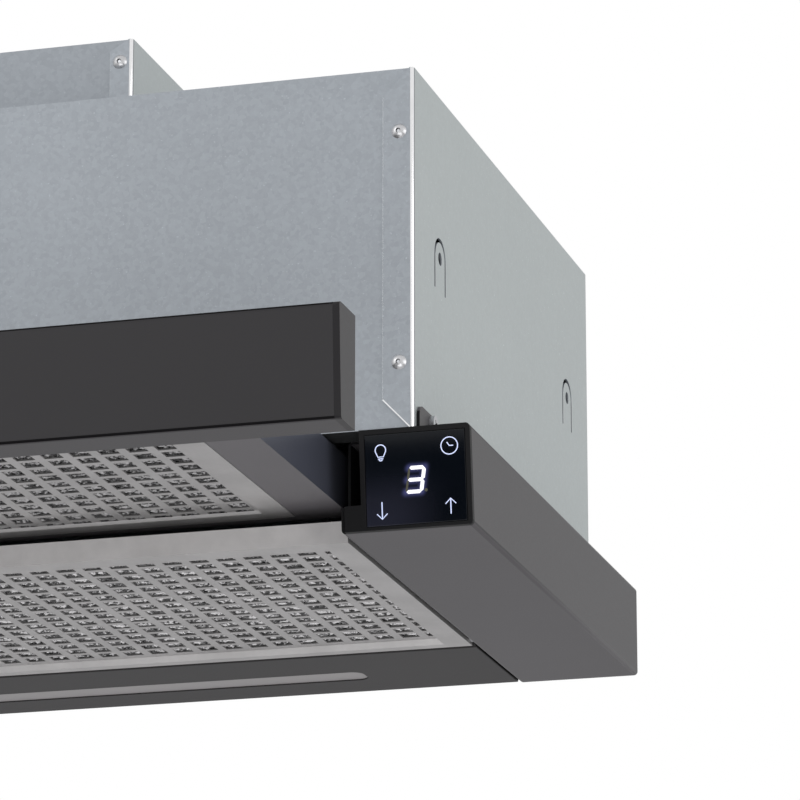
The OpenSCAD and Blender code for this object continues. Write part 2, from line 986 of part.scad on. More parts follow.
module power_gland()
    color("black")
    translate([gland_x, gland_y, casing_top])
        difference() {
            union() {
                cylinder(h = gland_nut_h, r = gland_nut_r, $fn = gland_sides);
                translate([0, 0, -sheet_t - gland_tail])
                    cylinder(h = sheet_t + gland_tail + gland_h, r = gland_r);
            }
            translate([0, 0, -sheet_t - gland_tail - over])
                cylinder(h = sheet_t + gland_tail + gland_h + 2 * over, r = gland_bore);
        }

// Fascia

// Outline of the fascia, or of the hollow at a distance inside it
module fascia_outline(inset)
    polygon([
        [fascia_front + inset, fascia_h - inset],
        [fascia_front + fascia_lean + inset, inset],
        [fascia_rear - inset, inset],
        [fascia_rear - inset, fascia_h - inset]]);

// Outline with rounded front edges
module fascia_skin() {
    r = fascia_bend;
    lean = atan(fascia_lean / fascia_h);
    head = [fascia_front + r / cos(lean) + r * tan(lean), fascia_h - r];
    foot = [fascia_front + fascia_lean + r / cos(lean) - r * tan(lean), r];
    face = [-r * cos(lean), -r * sin(lean)];
    polygon([
        [head[0], fascia_h], head + face, foot + face, [foot[0], 0],
        [fascia_rear, 0], [fascia_rear, fascia_h]]);
    for (centre = [head, foot])
        translate(centre)
            circle(r = r);
}

module fascia_panel()
    color([0.25, 0.24, 0.25])
    difference() {
        across(-fascia_x + end_cap_t, 2 * (fascia_x - end_cap_t))
            difference() {
                fascia_skin();
                fascia_outline(fascia_t);
                translate([fascia_rear - fascia_t - over, fascia_low_lip])
                    square([fascia_t + 2 * over, fascia_h - fascia_lip - fascia_low_lip]);
            }
        for (x = fascia_screw_x)
            translate([x, fascia_rear - fascia_t - over, fascia_screw_z])
                rotate([-90, 0, 0])
                    cylinder(h = fascia_t + 2 * over, r = screw_r);
    }

fascia_screw_x = [for (k = fascia_screw_shares) k * tray_x];
fascia_screw_z = (tray_z + tray_t + fascia_low_lip) / 2;

module fascia_end_caps()
    color([0.28, 0.27, 0.28])
    for (s = [-1, 1])
        handed(s) {
            across(fascia_x - end_cap_t, end_cap_t)
                fascia_skin();
            across(fascia_x - end_cap_t - end_plug, end_plug)
                difference() {
                    fascia_outline(fascia_t + seat);
                    fascia_outline(fascia_t + seat + plug_t);
                }
        }

module fascia_screws()
    color("silver")
    for (x = fascia_screw_x)
        translate([x, fascia_rear - fascia_t, fascia_screw_z])
            rotate([-90, 0, 0]) {
                cylinder(h = fascia_t + tray_t, r = screw_r);
                translate([0, 0, fascia_t + tray_t])
                    cylinder(h = screw_head_h, r = screw_head_r);
            }

// Tray

module tray_frame() {
    ix = tray_filter_x;
    iy = [tray_filter_front, tray_filter_rear];
    color([0.28, 0.27, 0.28])
    difference() {
        union() {
            block([-tray_x, tray_x], [fascia_rear, tray_rear], [tray_z, tray_z + tray_t]);
            block([-tray_x, tray_x], [fascia_rear, fascia_rear + tray_t], [tray_z, tray_head]);
            block([-ix - tray_t, ix + tray_t], [iy[0] - tray_t, iy[0]], [tray_z, tray_z + tray_wall_h]);
            block([-ix - tray_t, ix + tray_t], [iy[1], iy[1] + tray_t], [tray_z, tray_z + tray_wall_h]);
            for (s = [-1, 1])
                handed(s) {
                    block([tray_x - tray_t, tray_x], [fascia_rear, tray_rear], [tray_z, tray_head]);
                    block([ix, ix + tray_t], iy, [tray_z, tray_z + tray_wall_h]);
                }
        }
        block([-ix, ix], iy, [tray_z - over, tray_z + tray_t + over]);
        for (x = fascia_screw_x)
            translate([x, fascia_rear - over, fascia_screw_z])
                rotate([-90, 0, 0])
                    cylinder(h = tray_t + 2 * over, r = screw_r);
    }
}

// Filter cassettes

// Opening of a cassette's lip: its flanks slant in towards the punched sheet
module lip_opening(x, y, z) {
    f = cassette_flank;
    intersection() {
        upright(y[0] - over, y[1] - y[0] + 2 * over)
            polygon([[x[0], z[0] - over], [x[0], z[0]], [x[0] + f, z[1]], [x[0] + f, z[1] + over],
                [x[1] - f, z[1] + over], [x[1] - f, z[1]], [x[1], z[0]], [x[1], z[0] - over]]);
        across(x[0] - over, x[1] - x[0] + 2 * over)
            polygon([[y[0], z[0] - over], [y[0], z[0]], [y[0] + f, z[1]], [y[0] + f, z[1] + over],
                [y[1] - f, z[1] + over], [y[1] - f, z[1]], [y[1], z[0]], [y[1], z[0] - over]]);
    }
}

// Rim of a cassette: channel all round, with a hem at the inner edge of its lip
module cassette_rim(hx, y, z0, recess, rear_lip) {
    t = cassette_t;
    x = [-hx + cassette_lip, hx - cassette_lip];
    lip_y = [y[0] + cassette_lip, y[1] - rear_lip];
    difference() {
        block([-hx, hx], y, [z0, z0 + cassette_h]);
        difference() {
            block([-hx + t, hx - t], [y[0] + t, y[1] - t], [z0 + t, z0 + cassette_h - t]);
            block([x[0] - t, x[1] + t], [lip_y[0] - t, lip_y[1] + t], [z0, z0 + recess]);
        }
        lip_opening(x, lip_y, [z0, z0 + recess]);
        block([-hx + cassette_top_lip, hx - cassette_top_lip], [y[0] + cassette_top_lip, y[1] - cassette_top_lip],
            [z0 + cassette_h - t - over, z0 + cassette_h + over]);
    }
}

function rectangle(x, y) = [[x[0], y[0]], [x[1], y[0]], [x[1], y[1]], [x[0], y[1]]];
function sheet_edge(y) = [y[0] + cassette_t + seat, y[1] - cassette_t - seat];

// Punched sheet, a strip for each row of windows; the catch's cut-out goes through it
module punched_sheet(hx, y, z, last_row, shift, cup) {
    sx = hx - cassette_t - seat;
    sy = sheet_edge(y);
    reach = hx - cassette_lip + window_w / 2;
    steps = floor((last_row - y[0] - cassette_lip) / pitch_y);
    half = ceil(reach / pitch_x);
    columns = [for (i = [-half : half]) let (u = i * pitch_x + shift) if (abs(u) < reach) u];
    translate([0, 0, z])
        linear_extrude(punch_t)
            difference() {
                union() {
                    for (j = [0 : steps])
                        window_row(columns, last_row - j * pitch_y, [-sx, sx], cup);
                    translate([-sx, last_row + pitch_y / 2])
                        square([2 * sx, sy[1] - last_row - pitch_y / 2]);
                    translate([-sx, sy[0]])
                        square([2 * sx, last_row - steps * pitch_y - pitch_y / 2 - sy[0]]);
                }
                if (len(cup) > 0)
                    translate([-cup[0], cup[1]])
                        square([2 * cup[0], cup[2] - cup[1]]);
            }
}

// One strip with its windows, as a single outline; none near the catch
module window_row(columns, v, x, cup) {
    clear = window_w / 2 + punch_edge;
    beside = [for (u = columns) if (len(cup) == 0 || abs(u) > cup[0] + clear || v > cup[2] + clear) u];
    windows = [for (u = beside) rectangle([u - window_w / 2, u + window_w / 2], [v - window_d / 2, v + window_d / 2])];
    outlines = concat([rectangle(x, [v - pitch_y / 2, v + pitch_y / 2])], windows);
    polygon(
        [for (o = outlines) for (p = o) p],
        [for (k = [0 : len(outlines) - 1]) [for (c = [0 : 3]) 4 * k + c]]);
}

module mesh_pack(hx, y, z, cup) {
    sx = hx - cassette_t - seat;
    difference() {
        block([-sx, sx], sheet_edge(y), z);
        if (len(cup) > 0)
            block([-cup[0], cup[0]], [cup[1], cup[2]], [z[0] - over, z[1] + over]);
    }
}

tray_filter_at = [tray_filter_front + seat, tray_filter_rear - seat];
filter_at = [filter_front, filter_rear];
cup_cut = [cup_w / 2, cup_y, cup_y + cup_d];

module tray_filter_frame()
    color("silver")
    cassette_rim(tray_filter_x - seat, tray_filter_at, tray_z, tray_recess, tray_rear_lip);

module tray_filter_sheet()
    color("gainsboro")
    punched_sheet(tray_filter_x - seat, tray_filter_at, tray_z + tray_recess,
        tray_filter_rear - tray_row_inset, tray_column_share * pitch_x, []);

module tray_filter_mesh()
    color("gray")
    mesh_pack(tray_filter_x - seat, tray_filter_at,
        [tray_z + tray_recess + punch_t, tray_z + cassette_h - cassette_t], []);

module filter_frame()
    color("silver")
    difference() {
        cassette_rim(filter_x, filter_at, filter_z, filter_recess, filter_rear_lip);
        for (s = [-1, 1])
            handed(s)
                translate([filter_x - cassette_t - over, filter_rear - hinge_inset, filter_z + hinge_rise])
                    bar_x(0, cassette_t + 2 * over, hinge_r);
    }

module filter_sheet()
    color("gainsboro")
    punched_sheet(filter_x, filter_at, filter_z + filter_recess,
        filter_rear - filter_row_inset, 0, cup_cut);

module filter_mesh()
    color("gray")
    mesh_pack(filter_x, filter_at,
        [filter_z + filter_recess + punch_t, filter_z + cassette_h - cassette_t], cup_cut);

module filter_hinge_pins()
    color("silver")
    for (s = [-1, 1])
        handed(s)
            translate([filter_x - cassette_t - hinge_tail, filter_rear - hinge_inset, filter_z + hinge_rise])
                bar_x(0, cassette_t + hinge_tail + hinge_reach, hinge_r);

// Catch of the swinging cassette: cup, sprung slider with its hook, and the keeper

module filter_latch_cup() {
    x = cup_w / 2;
    y = [cup_y, cup_y + cup_d];
    z = [filter_z + filter_recess, cup_head];
    color("black") {
        difference() {
            block([-x, x], y, z);
            block([-x + cup_t, x - cup_t], [y[0] + cup_t, y[1] - cup_t], [z[0] - over, z[1] - cup_t]);
            block([-stem_w / 2 - seat, stem_w / 2 + seat], [stem_y - seat, stem_y + stem_t + catch_travel + seat],
                [z[1] - cup_t - over, z[1] + over]);
        }
        for (s = [-1, 1])
            handed(s)
                block([x - cup_t - ledge_w, x - cup_t], [y[0] + cup_t, y[1] - cup_t],
                    [z[0], z[0] + ledge_h]);
    }
}

slider_z = filter_z + filter_recess + ledge_h + seat / 2;
module filter_latch() {
    x = cup_w / 2 - cup_t - seat;
    y0 = cup_y + cup_t + seat;
    z1 = cup_head - cup_t - seat;
    color("black") {
        block([-x, x], [y0, y0 + slider_d - seat], [slider_z, z1]);
        block([-x + ledge_w + seat, x - ledge_w - seat], [y0 + slider_d - ridge_t, y0 + slider_d],
            [filter_z + cassette_t, slider_z]);
        block([-stem_w / 2, stem_w / 2], [stem_y, stem_y + stem_t], [z1, keeper_z + keeper_t + seat + nose_t]);
        block([-stem_w / 2, stem_w / 2], [keeper_rear - nose_lap, stem_y],
            [keeper_z + keeper_t + seat, keeper_z + keeper_t + seat + nose_t]);
    }
}

module filter_keeper()
    color("dimgray")
    block([-arm_in, arm_in], [keeper_rear - keeper_d, keeper_rear], [keeper_z, keeper_z + keeper_t]);

side_sheet(-1);  // side_sheet_left
side_sheet(1);  // side_sheet_right
front_sheet();
rear_sheet();
top_sheet();
tower_side(-1);  // tower_side_left
tower_side(1);  // tower_side_right
tower_front();
tower_top_sheet();  // tower_top
casing_rivets();
duct_collar();
flap_axle();
power_gland();
control_unit();
arm(-1);  // arm_left
arm(1);  // arm_right
arm_screws();
control_cap();
control_glass();
display_module();
control_board();
blank_cap();
rear_bar();
light_diffuser();
led_board();
lamp_housing();
filter_keeper();
runner_carrier(-1);  // runner_carrier_left
runner_carrier(1);  // runner_carrier_right
outer_rail(-1);  // outer_rail_left
outer_rail(1);  // outer_rail_right
scroll_half_shell(-1);  // blower_housing_left
scroll_half_shell(1);  // blower_housing_right
motor();
motor_bracket();
fan_wheel();
fan_shaft();
flap(-1);  // flap_front
flap(1);  // flap_rear
middle_rail(-1);  // middle_rail_left
middle_rail(1);  // middle_rail_right
fascia_panel();
fascia_end_caps();
fascia_screws();
tray_frame();
inner_rail(-1);  // inner_rail_left
inner_rail(1);  // inner_rail_right
tray_filter_frame();
tray_filter_sheet();
tray_filter_mesh();
filter_frame();
filter_sheet();
filter_mesh();
filter_hinge_pins();
filter_latch_cup();
filter_latch();
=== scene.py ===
import json
import math

import bmesh
import bpy
from mathutils import Matrix, Vector, noise
from mathutils.bvhtree import BVHTree


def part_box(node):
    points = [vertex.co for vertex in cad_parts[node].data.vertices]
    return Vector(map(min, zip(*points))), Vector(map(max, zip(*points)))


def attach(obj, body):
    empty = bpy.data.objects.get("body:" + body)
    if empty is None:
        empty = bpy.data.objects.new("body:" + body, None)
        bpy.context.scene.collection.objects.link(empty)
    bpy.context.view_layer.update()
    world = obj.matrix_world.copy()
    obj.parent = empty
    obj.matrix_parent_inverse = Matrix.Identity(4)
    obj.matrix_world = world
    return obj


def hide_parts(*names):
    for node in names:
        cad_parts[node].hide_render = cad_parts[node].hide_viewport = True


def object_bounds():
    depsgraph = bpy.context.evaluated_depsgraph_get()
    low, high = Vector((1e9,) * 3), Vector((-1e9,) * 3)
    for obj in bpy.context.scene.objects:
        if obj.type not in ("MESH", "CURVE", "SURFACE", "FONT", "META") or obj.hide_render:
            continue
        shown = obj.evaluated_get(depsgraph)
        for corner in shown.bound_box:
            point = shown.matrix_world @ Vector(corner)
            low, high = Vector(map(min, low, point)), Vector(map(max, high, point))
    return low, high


bl_info = {
    "name": "Pull-out range hood",
    "version": (1, 0, 0),
    "blender": (4, 5, 0),
    "location": "3D View > Sidebar > Hood",
    "description": "Dresses the solids of a pull-out range hood with finishes, signs and fine detail",
    "category": "Object",
}

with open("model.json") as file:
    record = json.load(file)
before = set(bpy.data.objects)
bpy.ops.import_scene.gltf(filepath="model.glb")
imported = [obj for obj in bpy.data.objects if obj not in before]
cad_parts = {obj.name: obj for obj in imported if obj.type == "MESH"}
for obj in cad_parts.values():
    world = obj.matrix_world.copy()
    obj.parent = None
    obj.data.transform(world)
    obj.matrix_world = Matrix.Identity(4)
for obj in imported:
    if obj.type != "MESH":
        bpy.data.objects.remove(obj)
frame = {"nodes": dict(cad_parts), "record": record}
CAD_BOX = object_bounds()
NODES = frame["nodes"]
MM = 0.001


# Sizes and colours that a user would change

def length(name, description, default):
    return bpy.props.FloatProperty(
        name=name, description=description, default=default, min=0.0,
        subtype="DISTANCE", unit="LENGTH", precision=5)


def colour(name, description, default):
    return bpy.props.FloatVectorProperty(
        name=name, description=description, default=default, min=0.0, max=1.0, size=3, subtype="COLOR")


class HoodSizes(bpy.types.PropertyGroup):
    edge: length("Edge", "Rounding along the edges of painted and moulded pieces", 0.35 * MM)
    strand: length("Strand", "Width of the strands in the filters' expanded metal", 1.0 * MM)
    cell_x: length("Cell width", "Width of one diamond of expanded metal", 3.7 * MM)
    cell_y: length("Cell depth", "Depth of one diamond of expanded metal", 4.8 * MM)
    stroke: length("Stroke", "Width of the lines in the lit signs", 0.44 * MM)
    digit: length("Digit", "Height of the lit digit", 10.15 * MM)


class HoodColours(bpy.types.PropertyGroup):
    galvanised: colour("Galvanised sheet", "Mean colour of the zinc coat", (0.338, 0.364, 0.393))
    # The sides' colour is the zinc made lighter: painted light on the faces that look aside
    side: colour("Casing side", "Smooth sides of the casing", (0.530, 0.572, 0.570))
    paint: colour("Paint", "Satin paint of the arms and tray", (0.086, 0.081, 0.087))
    bar: colour("Rear bar", "Satin paint of the bar that holds the light", (0.0270, 0.0250, 0.0258))
    # The face's colour is much darker than the paint: painted shade, a dark surrounding reflected in the face
    fascia: colour("Fascia", "Satin paint of the fascia's face", (0.0145, 0.0130, 0.0150))
    plastic: colour("Black plastic", "End caps of the arms, collar and flaps", (0.007, 0.007, 0.0078))
    glass: colour("Glass", "Black glass over the display", (0.0022, 0.0036, 0.0062))
    # The glass turns to this colour low and to the left: a painted reflection
    film: colour("Film", "Veil of dust low on the glass", (0.021, 0.0225, 0.036))
    light: colour("Signs", "Light of the signs", (0.44, 0.53, 0.88))
    halo: colour("Halo", "Glow round the digit", (0.055, 0.059, 0.165))
    filter: colour("Filter sheet", "Satin metal of the cassettes", (0.532, 0.520, 0.516))
    mesh: colour("Filter mesh", "Expanded metal behind the windows", (0.720, 0.710, 0.715))
    diffuser: colour("Light strip", "Frosted lens of the unlit light", (0.352, 0.336, 0.337))


def sizes():
    return bpy.context.scene.hood_sizes


def tint(name):
    return tuple(getattr(bpy.context.scene.hood_colours, name))


def shade(base, factor):
    return tuple(min(1.0, c * factor) for c in base)


# Fixed sizes in metres, and angles in radians

# Points closer than this are one point, and edges that turn more than this are sharp
MERGE = 0.002 * MM
FLAT = math.radians(1.0)
SHARP = math.radians(40.0)

# Share of the edge rounding that thin sheet, cassettes and small pieces get
SHEET_EDGE = 1 / 3
CASSETTE_EDGE = 0.5
SMALL_EDGE = 0.6

# How far the lower edge of an arm's end cap is behind its upper edge
CAP_LEAN = 4.5 * MM

# Places of the signs, to the right and up from the middle of the glass, and their sizes
DIGIT_AT = (-0.1 * MM, -0.65 * MM)
BULB_AT = (-13.05 * MM, 10.2 * MM)
BULB_UNIT = 0.93 * MM
CLOCK_AT = (13.15 * MM, 10.9 * MM)
CLOCK_RADIUS = 3.15 * MM
DOWN_AT = (-13.1 * MM, -11.2 * MM)
DOWN_LENGTH = 6.3 * MM
UP_AT = (13.0 * MM, -11.2 * MM)
UP_LENGTH = 5.7 * MM
ARROW_WING = 2.0 * MM

# Heights of the layers of strands from a pack's underside, and of the top one from its upper side
FRONT_LAYER = 0.95 * MM
DEEP_LAYER = 3.0 * MM
TOP_LAYER = 1.1 * MM

# Rise of a strand over one cell, and the height and number of the waves in a layer
TILT = 2.3 * MM
SAG = 0.5 * MM
WAVES_PER_METRE = 900

# The photograph's viewing angle; the lens is in millimetres
CAMERA_AT = (0.7277, -1.6404, -0.4236)
CAMERA_YAW = math.radians(16.04)
CAMERA_PITCH = math.radians(16.05)
CAMERA_LENS = 209.9

# Name, place, width in metres and power in watts
LAMPS = (
    ("key", (-1.6, -2.2, 1.5), 2.2, 26.0),
    ("side", (2.6, -0.9, 0.4), 1.8, 11.0),
    ("low", (0.4, -1.8, -1.3), 1.8, 16.0),
)

# The floor, below the object's underside and out to each side
FLOOR_BELOW = 1.5
FLOOR_REACH = 8.0


# Nodes of materials and of the world

class Value:
    """The output of a node; arithmetic on it adds Math nodes"""

    def __init__(self, nodes, socket):
        self.nodes = nodes
        self.socket = socket

    def math(self, operation, *operands):
        return self.nodes.node("Math", {"operation": operation}, dict(enumerate(operands)))

    def __add__(self, other):
        return self.math("ADD", self, other)

    def __sub__(self, other):
        return self.math("SUBTRACT", self, other)

    def __rsub__(self, other):
        return self.math("SUBTRACT", other, self)

    def __mul__(self, other):
        return self.math("MULTIPLY", self, other)

    def __pow__(self, other):
        return self.math("POWER", self, other)

    def __abs__(self):
        return self.math("ABSOLUTE", self)

    __radd__ = __add__
    __rmul__ = __mul__

    def most(self, other):
        return self.math("MAXIMUM", self, other)

    def least(self, other):
        return self.math("MINIMUM", self, other)

    def ramp(self, low, high):
        """0 up to low, 1 from high on, with a soft change between"""
        return self.nodes.node("MapRange", {"interpolation_type": "SMOOTHSTEP"}, {
            "Value": self, "From Min": low, "From Max": high})


def pick(sockets, key=None):
    """The enabled socket with that identifier or name, or the first one"""
    return next(s for s in sockets if s.enabled and (key is None or key in (s.identifier, s.name)))


class Nodes:
    """A node tree that grows by one call for each node"""

    def __init__(self, tree):
        self.tree = tree

    def node(self, kind, settings=None, inputs=None, output=None):
        made = self.tree.nodes.new("ShaderNode" + kind)
        for key, setting in (settings or {}).items():
            setattr(made, key, setting)
        for key, given in (inputs or {}).items():
            self.feed(made.inputs[key] if isinstance(key, int) else pick(made.inputs, key), given)
        return Value(self, pick(made.outputs, output))

    def feed(self, socket, given):
        """Links a value to a socket, or sets the socket to a number, a colour or a vector"""
        if isinstance(given, Value):
            self.tree.links.new(given.socket, socket)
        else:
            socket.default_value = (*given, 1.0) if socket.type == "RGBA" else given


class Finish(Nodes):
    """The nodes of one material"""

    def __init__(self, name):
        self.material = bpy.data.materials.new(name)
        self.material.use_nodes = True
        super().__init__(self.material.node_tree)

    def place(self, stretch=(1.0, 1.0, 1.0)):
        """Object coordinates, stretched along the axes"""
        coordinates = self.node("TexCoord", output="Object")
        return self.node("Mapping", None, {"Vector": coordinates, "Scale": stretch})

    def axis(self, letter):
        """One of the Object coordinates"""
        return self.node("SeparateXYZ", None, {"Vector": self.node("TexCoord", output="Object")}, letter)

    def noise(self, scale, detail=3.0, rough=0.5, stretch=(1.0, 1.0, 1.0)):
        return self.node("TexNoise", None, {
            "Vector": self.place(stretch), "Scale": scale, "Detail": detail, "Roughness": rough}, "Fac")

    def blend(self, share, first, second):
        """First colour where share is 0, second where it is 1"""
        return self.node("Mix", {"data_type": "RGBA"}, {
            "Factor_Float": share, "A_Color": first, "B_Color": second}, "Result_Color")

    def bump(self, height, distance, strength):
        return self.node("Bump", None, {"Height": height, "Distance": distance, "Strength": strength})

    def surface(self, **inputs):
        """Feeds the material's shader, and gives the finished material"""
        shader = self.tree.nodes["Principled BSDF"]
        for key, given in inputs.items():
            self.feed(shader.inputs[key.replace("_", " ")], given)
        return self.material


# Finishes

def galvanised(name, base, mottle=0.62):
    """Zinc-coated sheet: fine grain, faint clouds and pale specks"""
    finish = Finish(name)
    clouds = finish.noise(13.0, detail=4.0, rough=0.6)
    grain = finish.noise(760.0, detail=4.0, rough=0.7)
    crystal = finish.node("TexVoronoi", None, {"Vector": finish.place(), "Scale": 620.0}, "Color")
    crystal = finish.node("SeparateColor", None, {"Color": crystal}, "Red")
    tone = clouds * 0.34 + grain * 0.44 + crystal * 0.22
    share = (tone - 0.5) * mottle + 0.5
    metal = finish.blend(share.ramp(0.1, 0.9), shade(base, 0.80), shade(base, 1.20))
    specks = finish.noise(1150.0, detail=1.0).ramp(0.70, 0.80) * 0.5
    return finish.surface(
        Base_Color=finish.blend(specks, metal, shade(base, 1.7)),
        Metallic=0.5,
        Roughness=0.42 + grain * 0.2,
        Normal=finish.bump(grain, distance=0.03 * MM, strength=0.3))


def painted(name, base, dull=0.42, grain_scale=1500.0, shine=0.5):
    """Satin powder paint with a fine orange-peel grain"""
    finish = Finish(name)
    grain = finish.noise(grain_scale, detail=2.0)
    clouds = finish.noise(9.0)
    return finish.surface(
        Base_Color=finish.blend(clouds.ramp(0.25, 0.75), shade(base, 0.95), shade(base, 1.05)),
        Roughness=dull + grain * 0.08,
        Specular_IOR_Level=shine,
        Normal=finish.bump(grain, distance=0.04 * MM, strength=0.3))


def moulded(name, base, dull=0.45, shine=0.5):
    """Moulded plastic with a spark-eroded texture"""
    finish = Finish(name)
    grain = finish.noise(2600.0, detail=2.0, rough=0.6)
    wear = finish.noise(40.0, detail=4.0)
    return finish.surface(
        Base_Color=finish.blend(wear, shade(base, 0.9), shade(base, 1.1)),
        Roughness=dull + grain * 0.15,
        Specular_IOR_Level=shine,
        Normal=finish.bump(grain, distance=0.03 * MM, strength=0.35))


def bare_metal(name, base, dull, along=(1.0, 1.0, 1.0), metallic=0.9):
    """Rolled or plated metal, its lines drawn out along the axis with the small number"""
    finish = Finish(name)
    lines = finish.noise(900.0, rough=0.6, stretch=along)
    stains = finish.noise(45.0, detail=4.0, rough=0.6)
    return finish.surface(
        Base_Color=finish.blend(stains.ramp(0.3, 0.7), shade(base, 0.93), shade(base, 1.07)),
        Metallic=metallic,
        Roughness=dull + lines * 0.14,
        Normal=finish.bump(lines, distance=0.02 * MM, strength=0.3))


def expanded_metal(name, base):
    """Strands whose colour swings by noise from near black to bright: painted glints and painted shade, with
    roughness and bumps from the same noise
    """
    finish = Finish(name)
    glints_and_facets = finish.noise(420.0, detail=2.0, rough=0.6)
    return finish.surface(
        Base_Color=finish.blend(glints_and_facets.ramp(0.43, 0.57), shade(base, 0.12), shade(base, 1.35)),
        Metallic=0.35,
        Roughness=0.28 + glints_and_facets * 0.25,
        Normal=finish.bump(glints_and_facets, distance=0.5 * MM, strength=0.5))


def control_glass(name):
    """Black glass, lighter low and to the left as a painted reflection, with dust in its roughness, and the
    glow that the digit's lit bars leave in it
    """
    finish = Finish(name)
    x, z = face_centre("control_glass")
    reach, half, slant = digit_form()
    up = finish.axis("Z") - (z + DIGIT_AT[1])
    along = finish.axis("X") - (x + DIGIT_AT[0]) - up * slant
    beside = (abs(along) - reach).most(0.0) ** 2.0
    bars = abs(up).least(abs(abs(up) - half)) ** 2.0
    upright = (along - reach) ** 2.0 + (abs(up) - half).most(0.0) ** 2.0
    distance = (beside + bars).least(upright) ** 0.5
    glow = (1.0 - distance.ramp(0.0, 0.30 * sizes().digit)) ** 1.9
    # Painted reflection: lighter towards the bottom and the left of the glass
    film = (up * -1.0).ramp(-8.0 * MM, 14.0 * MM) * (along * -1.0).ramp(-16.0 * MM, 10.0 * MM)
    dust = finish.noise(700.0, detail=2.0)
    return finish.surface(
        Base_Color=finish.blend(film, tint("glass"), tint("film")),
        Roughness=0.09 + dust * 0.05,
        Specular_IOR_Level=0.3,
        Emission_Color=finish.blend(glow, (0.0, 0.0, 0.0), tint("halo")),
        Emission_Strength=1.0)


def lit(name, base, strength):
    """Light that shines through the glass"""
    finish = Finish(name)
    spread = finish.noise(300.0, detail=1.0)
    return finish.surface(
        Base_Color=(0.5, 0.5, 0.5),
        Emission_Color=finish.blend(spread, shade(base, 0.96), base),
        Emission_Strength=strength)


def frosted(name, base):
    """Frosted lens with a faint haze"""
    finish = Finish(name)
    haze = finish.noise(120.0)
    return finish.surface(
        Base_Color=finish.blend(haze, shade(base, 0.94), shade(base, 1.06)),
        Roughness=0.36 + haze * 0.1)


FINISHES = {}


def finishes():
    """One material for each finish, made on first use"""
    if not FINISHES:
        zinc, paint, fascia = tint("galvanised"), tint("paint"), tint("fascia")
        plastic, cassette, strands = tint("plastic"), tint("filter"), tint("mesh")
        drawn = {"dull": 0.38, "along": (1.0, 0.1, 1.0), "metallic": 0.55}
        FINISHES.update(
            galvanised=galvanised("galvanised_sheet", zinc),
            galvanised_tower=galvanised("galvanised_tower", shade(zinc, 0.88)),
            # Painted light and shade on the casing: lighter sides, near white bends as a painted highlight,
            # and darker first stretches of the bends
            galvanised_side=galvanised("galvanised_side", tint("side"), mottle=0.25),
            bend=bare_metal("sheet_bend", (0.95, 0.95, 0.96), 0.12, along=(1.0, 1.0, 0.05), metallic=1.0),
            bend_edge=galvanised("sheet_bend_edge", shade(zinc, 0.62), mottle=0.4),
            # Near white matte strip: a painted highlight on the flange's slanted edge
            cut_edge=bare_metal("cut_edge", (0.95, 0.95, 0.94), 0.3, metallic=0.0),
            # Dark metal on the front sheet's downward lip: painted shade, the dark tray below reflected in it
            lip=bare_metal("lip_underside", (0.055, 0.058, 0.060), 0.5, metallic=0.3),
            paint=painted("satin_paint", paint),
            # A darker copy of the paint for the arms' sides: painted shade
            paint_side=painted("paint_side", shade(paint, 0.51)),
            # A lighter copy of the paint for the tray's underside: painted light; and a bluish dark coat for
            # its ends: painted reflection and shade
            paint_under=painted("paint_under", shade(paint, 1.50)),
            tray_side=moulded("tray_side", (0.070, 0.075, 0.098), 0.3),
            bar=painted("bar_paint", tint("bar"), shine=0.22),
            # The fascia's face, the dark line along its rounded edges and the end caps' front rims are dark
            # copies: painted shade
            fascia=painted("fascia_paint", fascia, 0.46, shine=0.4),
            fascia_under=painted("fascia_under", shade(paint, 0.59)),
            fascia_line=moulded("fascia_edge", shade(fascia, 0.35), 0.6, shine=0.08),
            fascia_end=moulded("fascia_end", shade(paint, 0.35), 0.42),
            fascia_rim=moulded("fascia_rim", shade(fascia, 0.8), 0.5, shine=0.25),
            cap=moulded("cap_plastic", plastic, 0.42, shine=0.16),
            black=moulded("black_plastic", shade(plastic, 2.5)),
            glass=control_glass("control_glass"),
            lit=lit("lit_sign", tint("light"), 0.95),
            lit_digit=lit("lit_digit", (0.93, 0.92, 1.0), 1.0),
            unlit=moulded("unlit_segment", (0.085, 0.083, 0.052), 0.5),
            filter=bare_metal("filter_sheet", cassette, **drawn),
            # A lighter copy for the frames' fronts: painted light; a darker one for the edges of the windows:
            # painted shade
            filter_front=bare_metal("filter_front", shade(cassette, 1.38), **drawn),
            punched=bare_metal("punched_edge", shade(cassette, 0.33), 0.5, metallic=0.5),
            mesh=expanded_metal("filter_mesh", strands),
            # Darker copies of the strands: painted shade for the tray's pack, the top layers and the deep
            # layer
            tray_mesh=expanded_metal("tray_mesh", shade(strands, 0.60)),
            deep_mesh=expanded_metal("filter_deep_mesh", shade(strands, 0.16)),
            # Near black for places in the dark: painted shadow on the arms, in the screws' recesses and in
            # the filter packs
            shadow=moulded("mesh_depth", (0.012, 0.012, 0.013), 0.7, shine=0.1),
            plated=bare_metal("zinc_plated_steel", (0.50, 0.51, 0.53), 0.25, along=(1.0, 0.08, 1.0)),
            rivet=bare_metal("rivet_metal", (0.62, 0.62, 0.63), 0.24),
            diffuser=frosted("light_strip", tint("diffuser")),
            white=moulded("white_plastic", (0.62, 0.62, 0.60)),
            grey=moulded("grey_plastic", (0.10, 0.105, 0.11)),
            ivory=moulded("display_body", (0.55, 0.54, 0.50)),
            board=painted("circuit_board", (0.012, 0.085, 0.030), 0.3, grain_scale=300.0),
            motor=painted("motor_housing", (0.085, 0.085, 0.09), 0.5, grain_scale=700.0),
        )
    return FINISHES


# Making pieces

def body_with(node):
    bodies = frame["record"]["behaviour"]["bodies"]
    return next(name for name, members in bodies.items() if node in members)


def slot_of(node):
    return next(part["material_slot"] for part in frame["record"]["subparts"] if part["node"] == node)


def sides(name):
    return name + "_left", name + "_right"


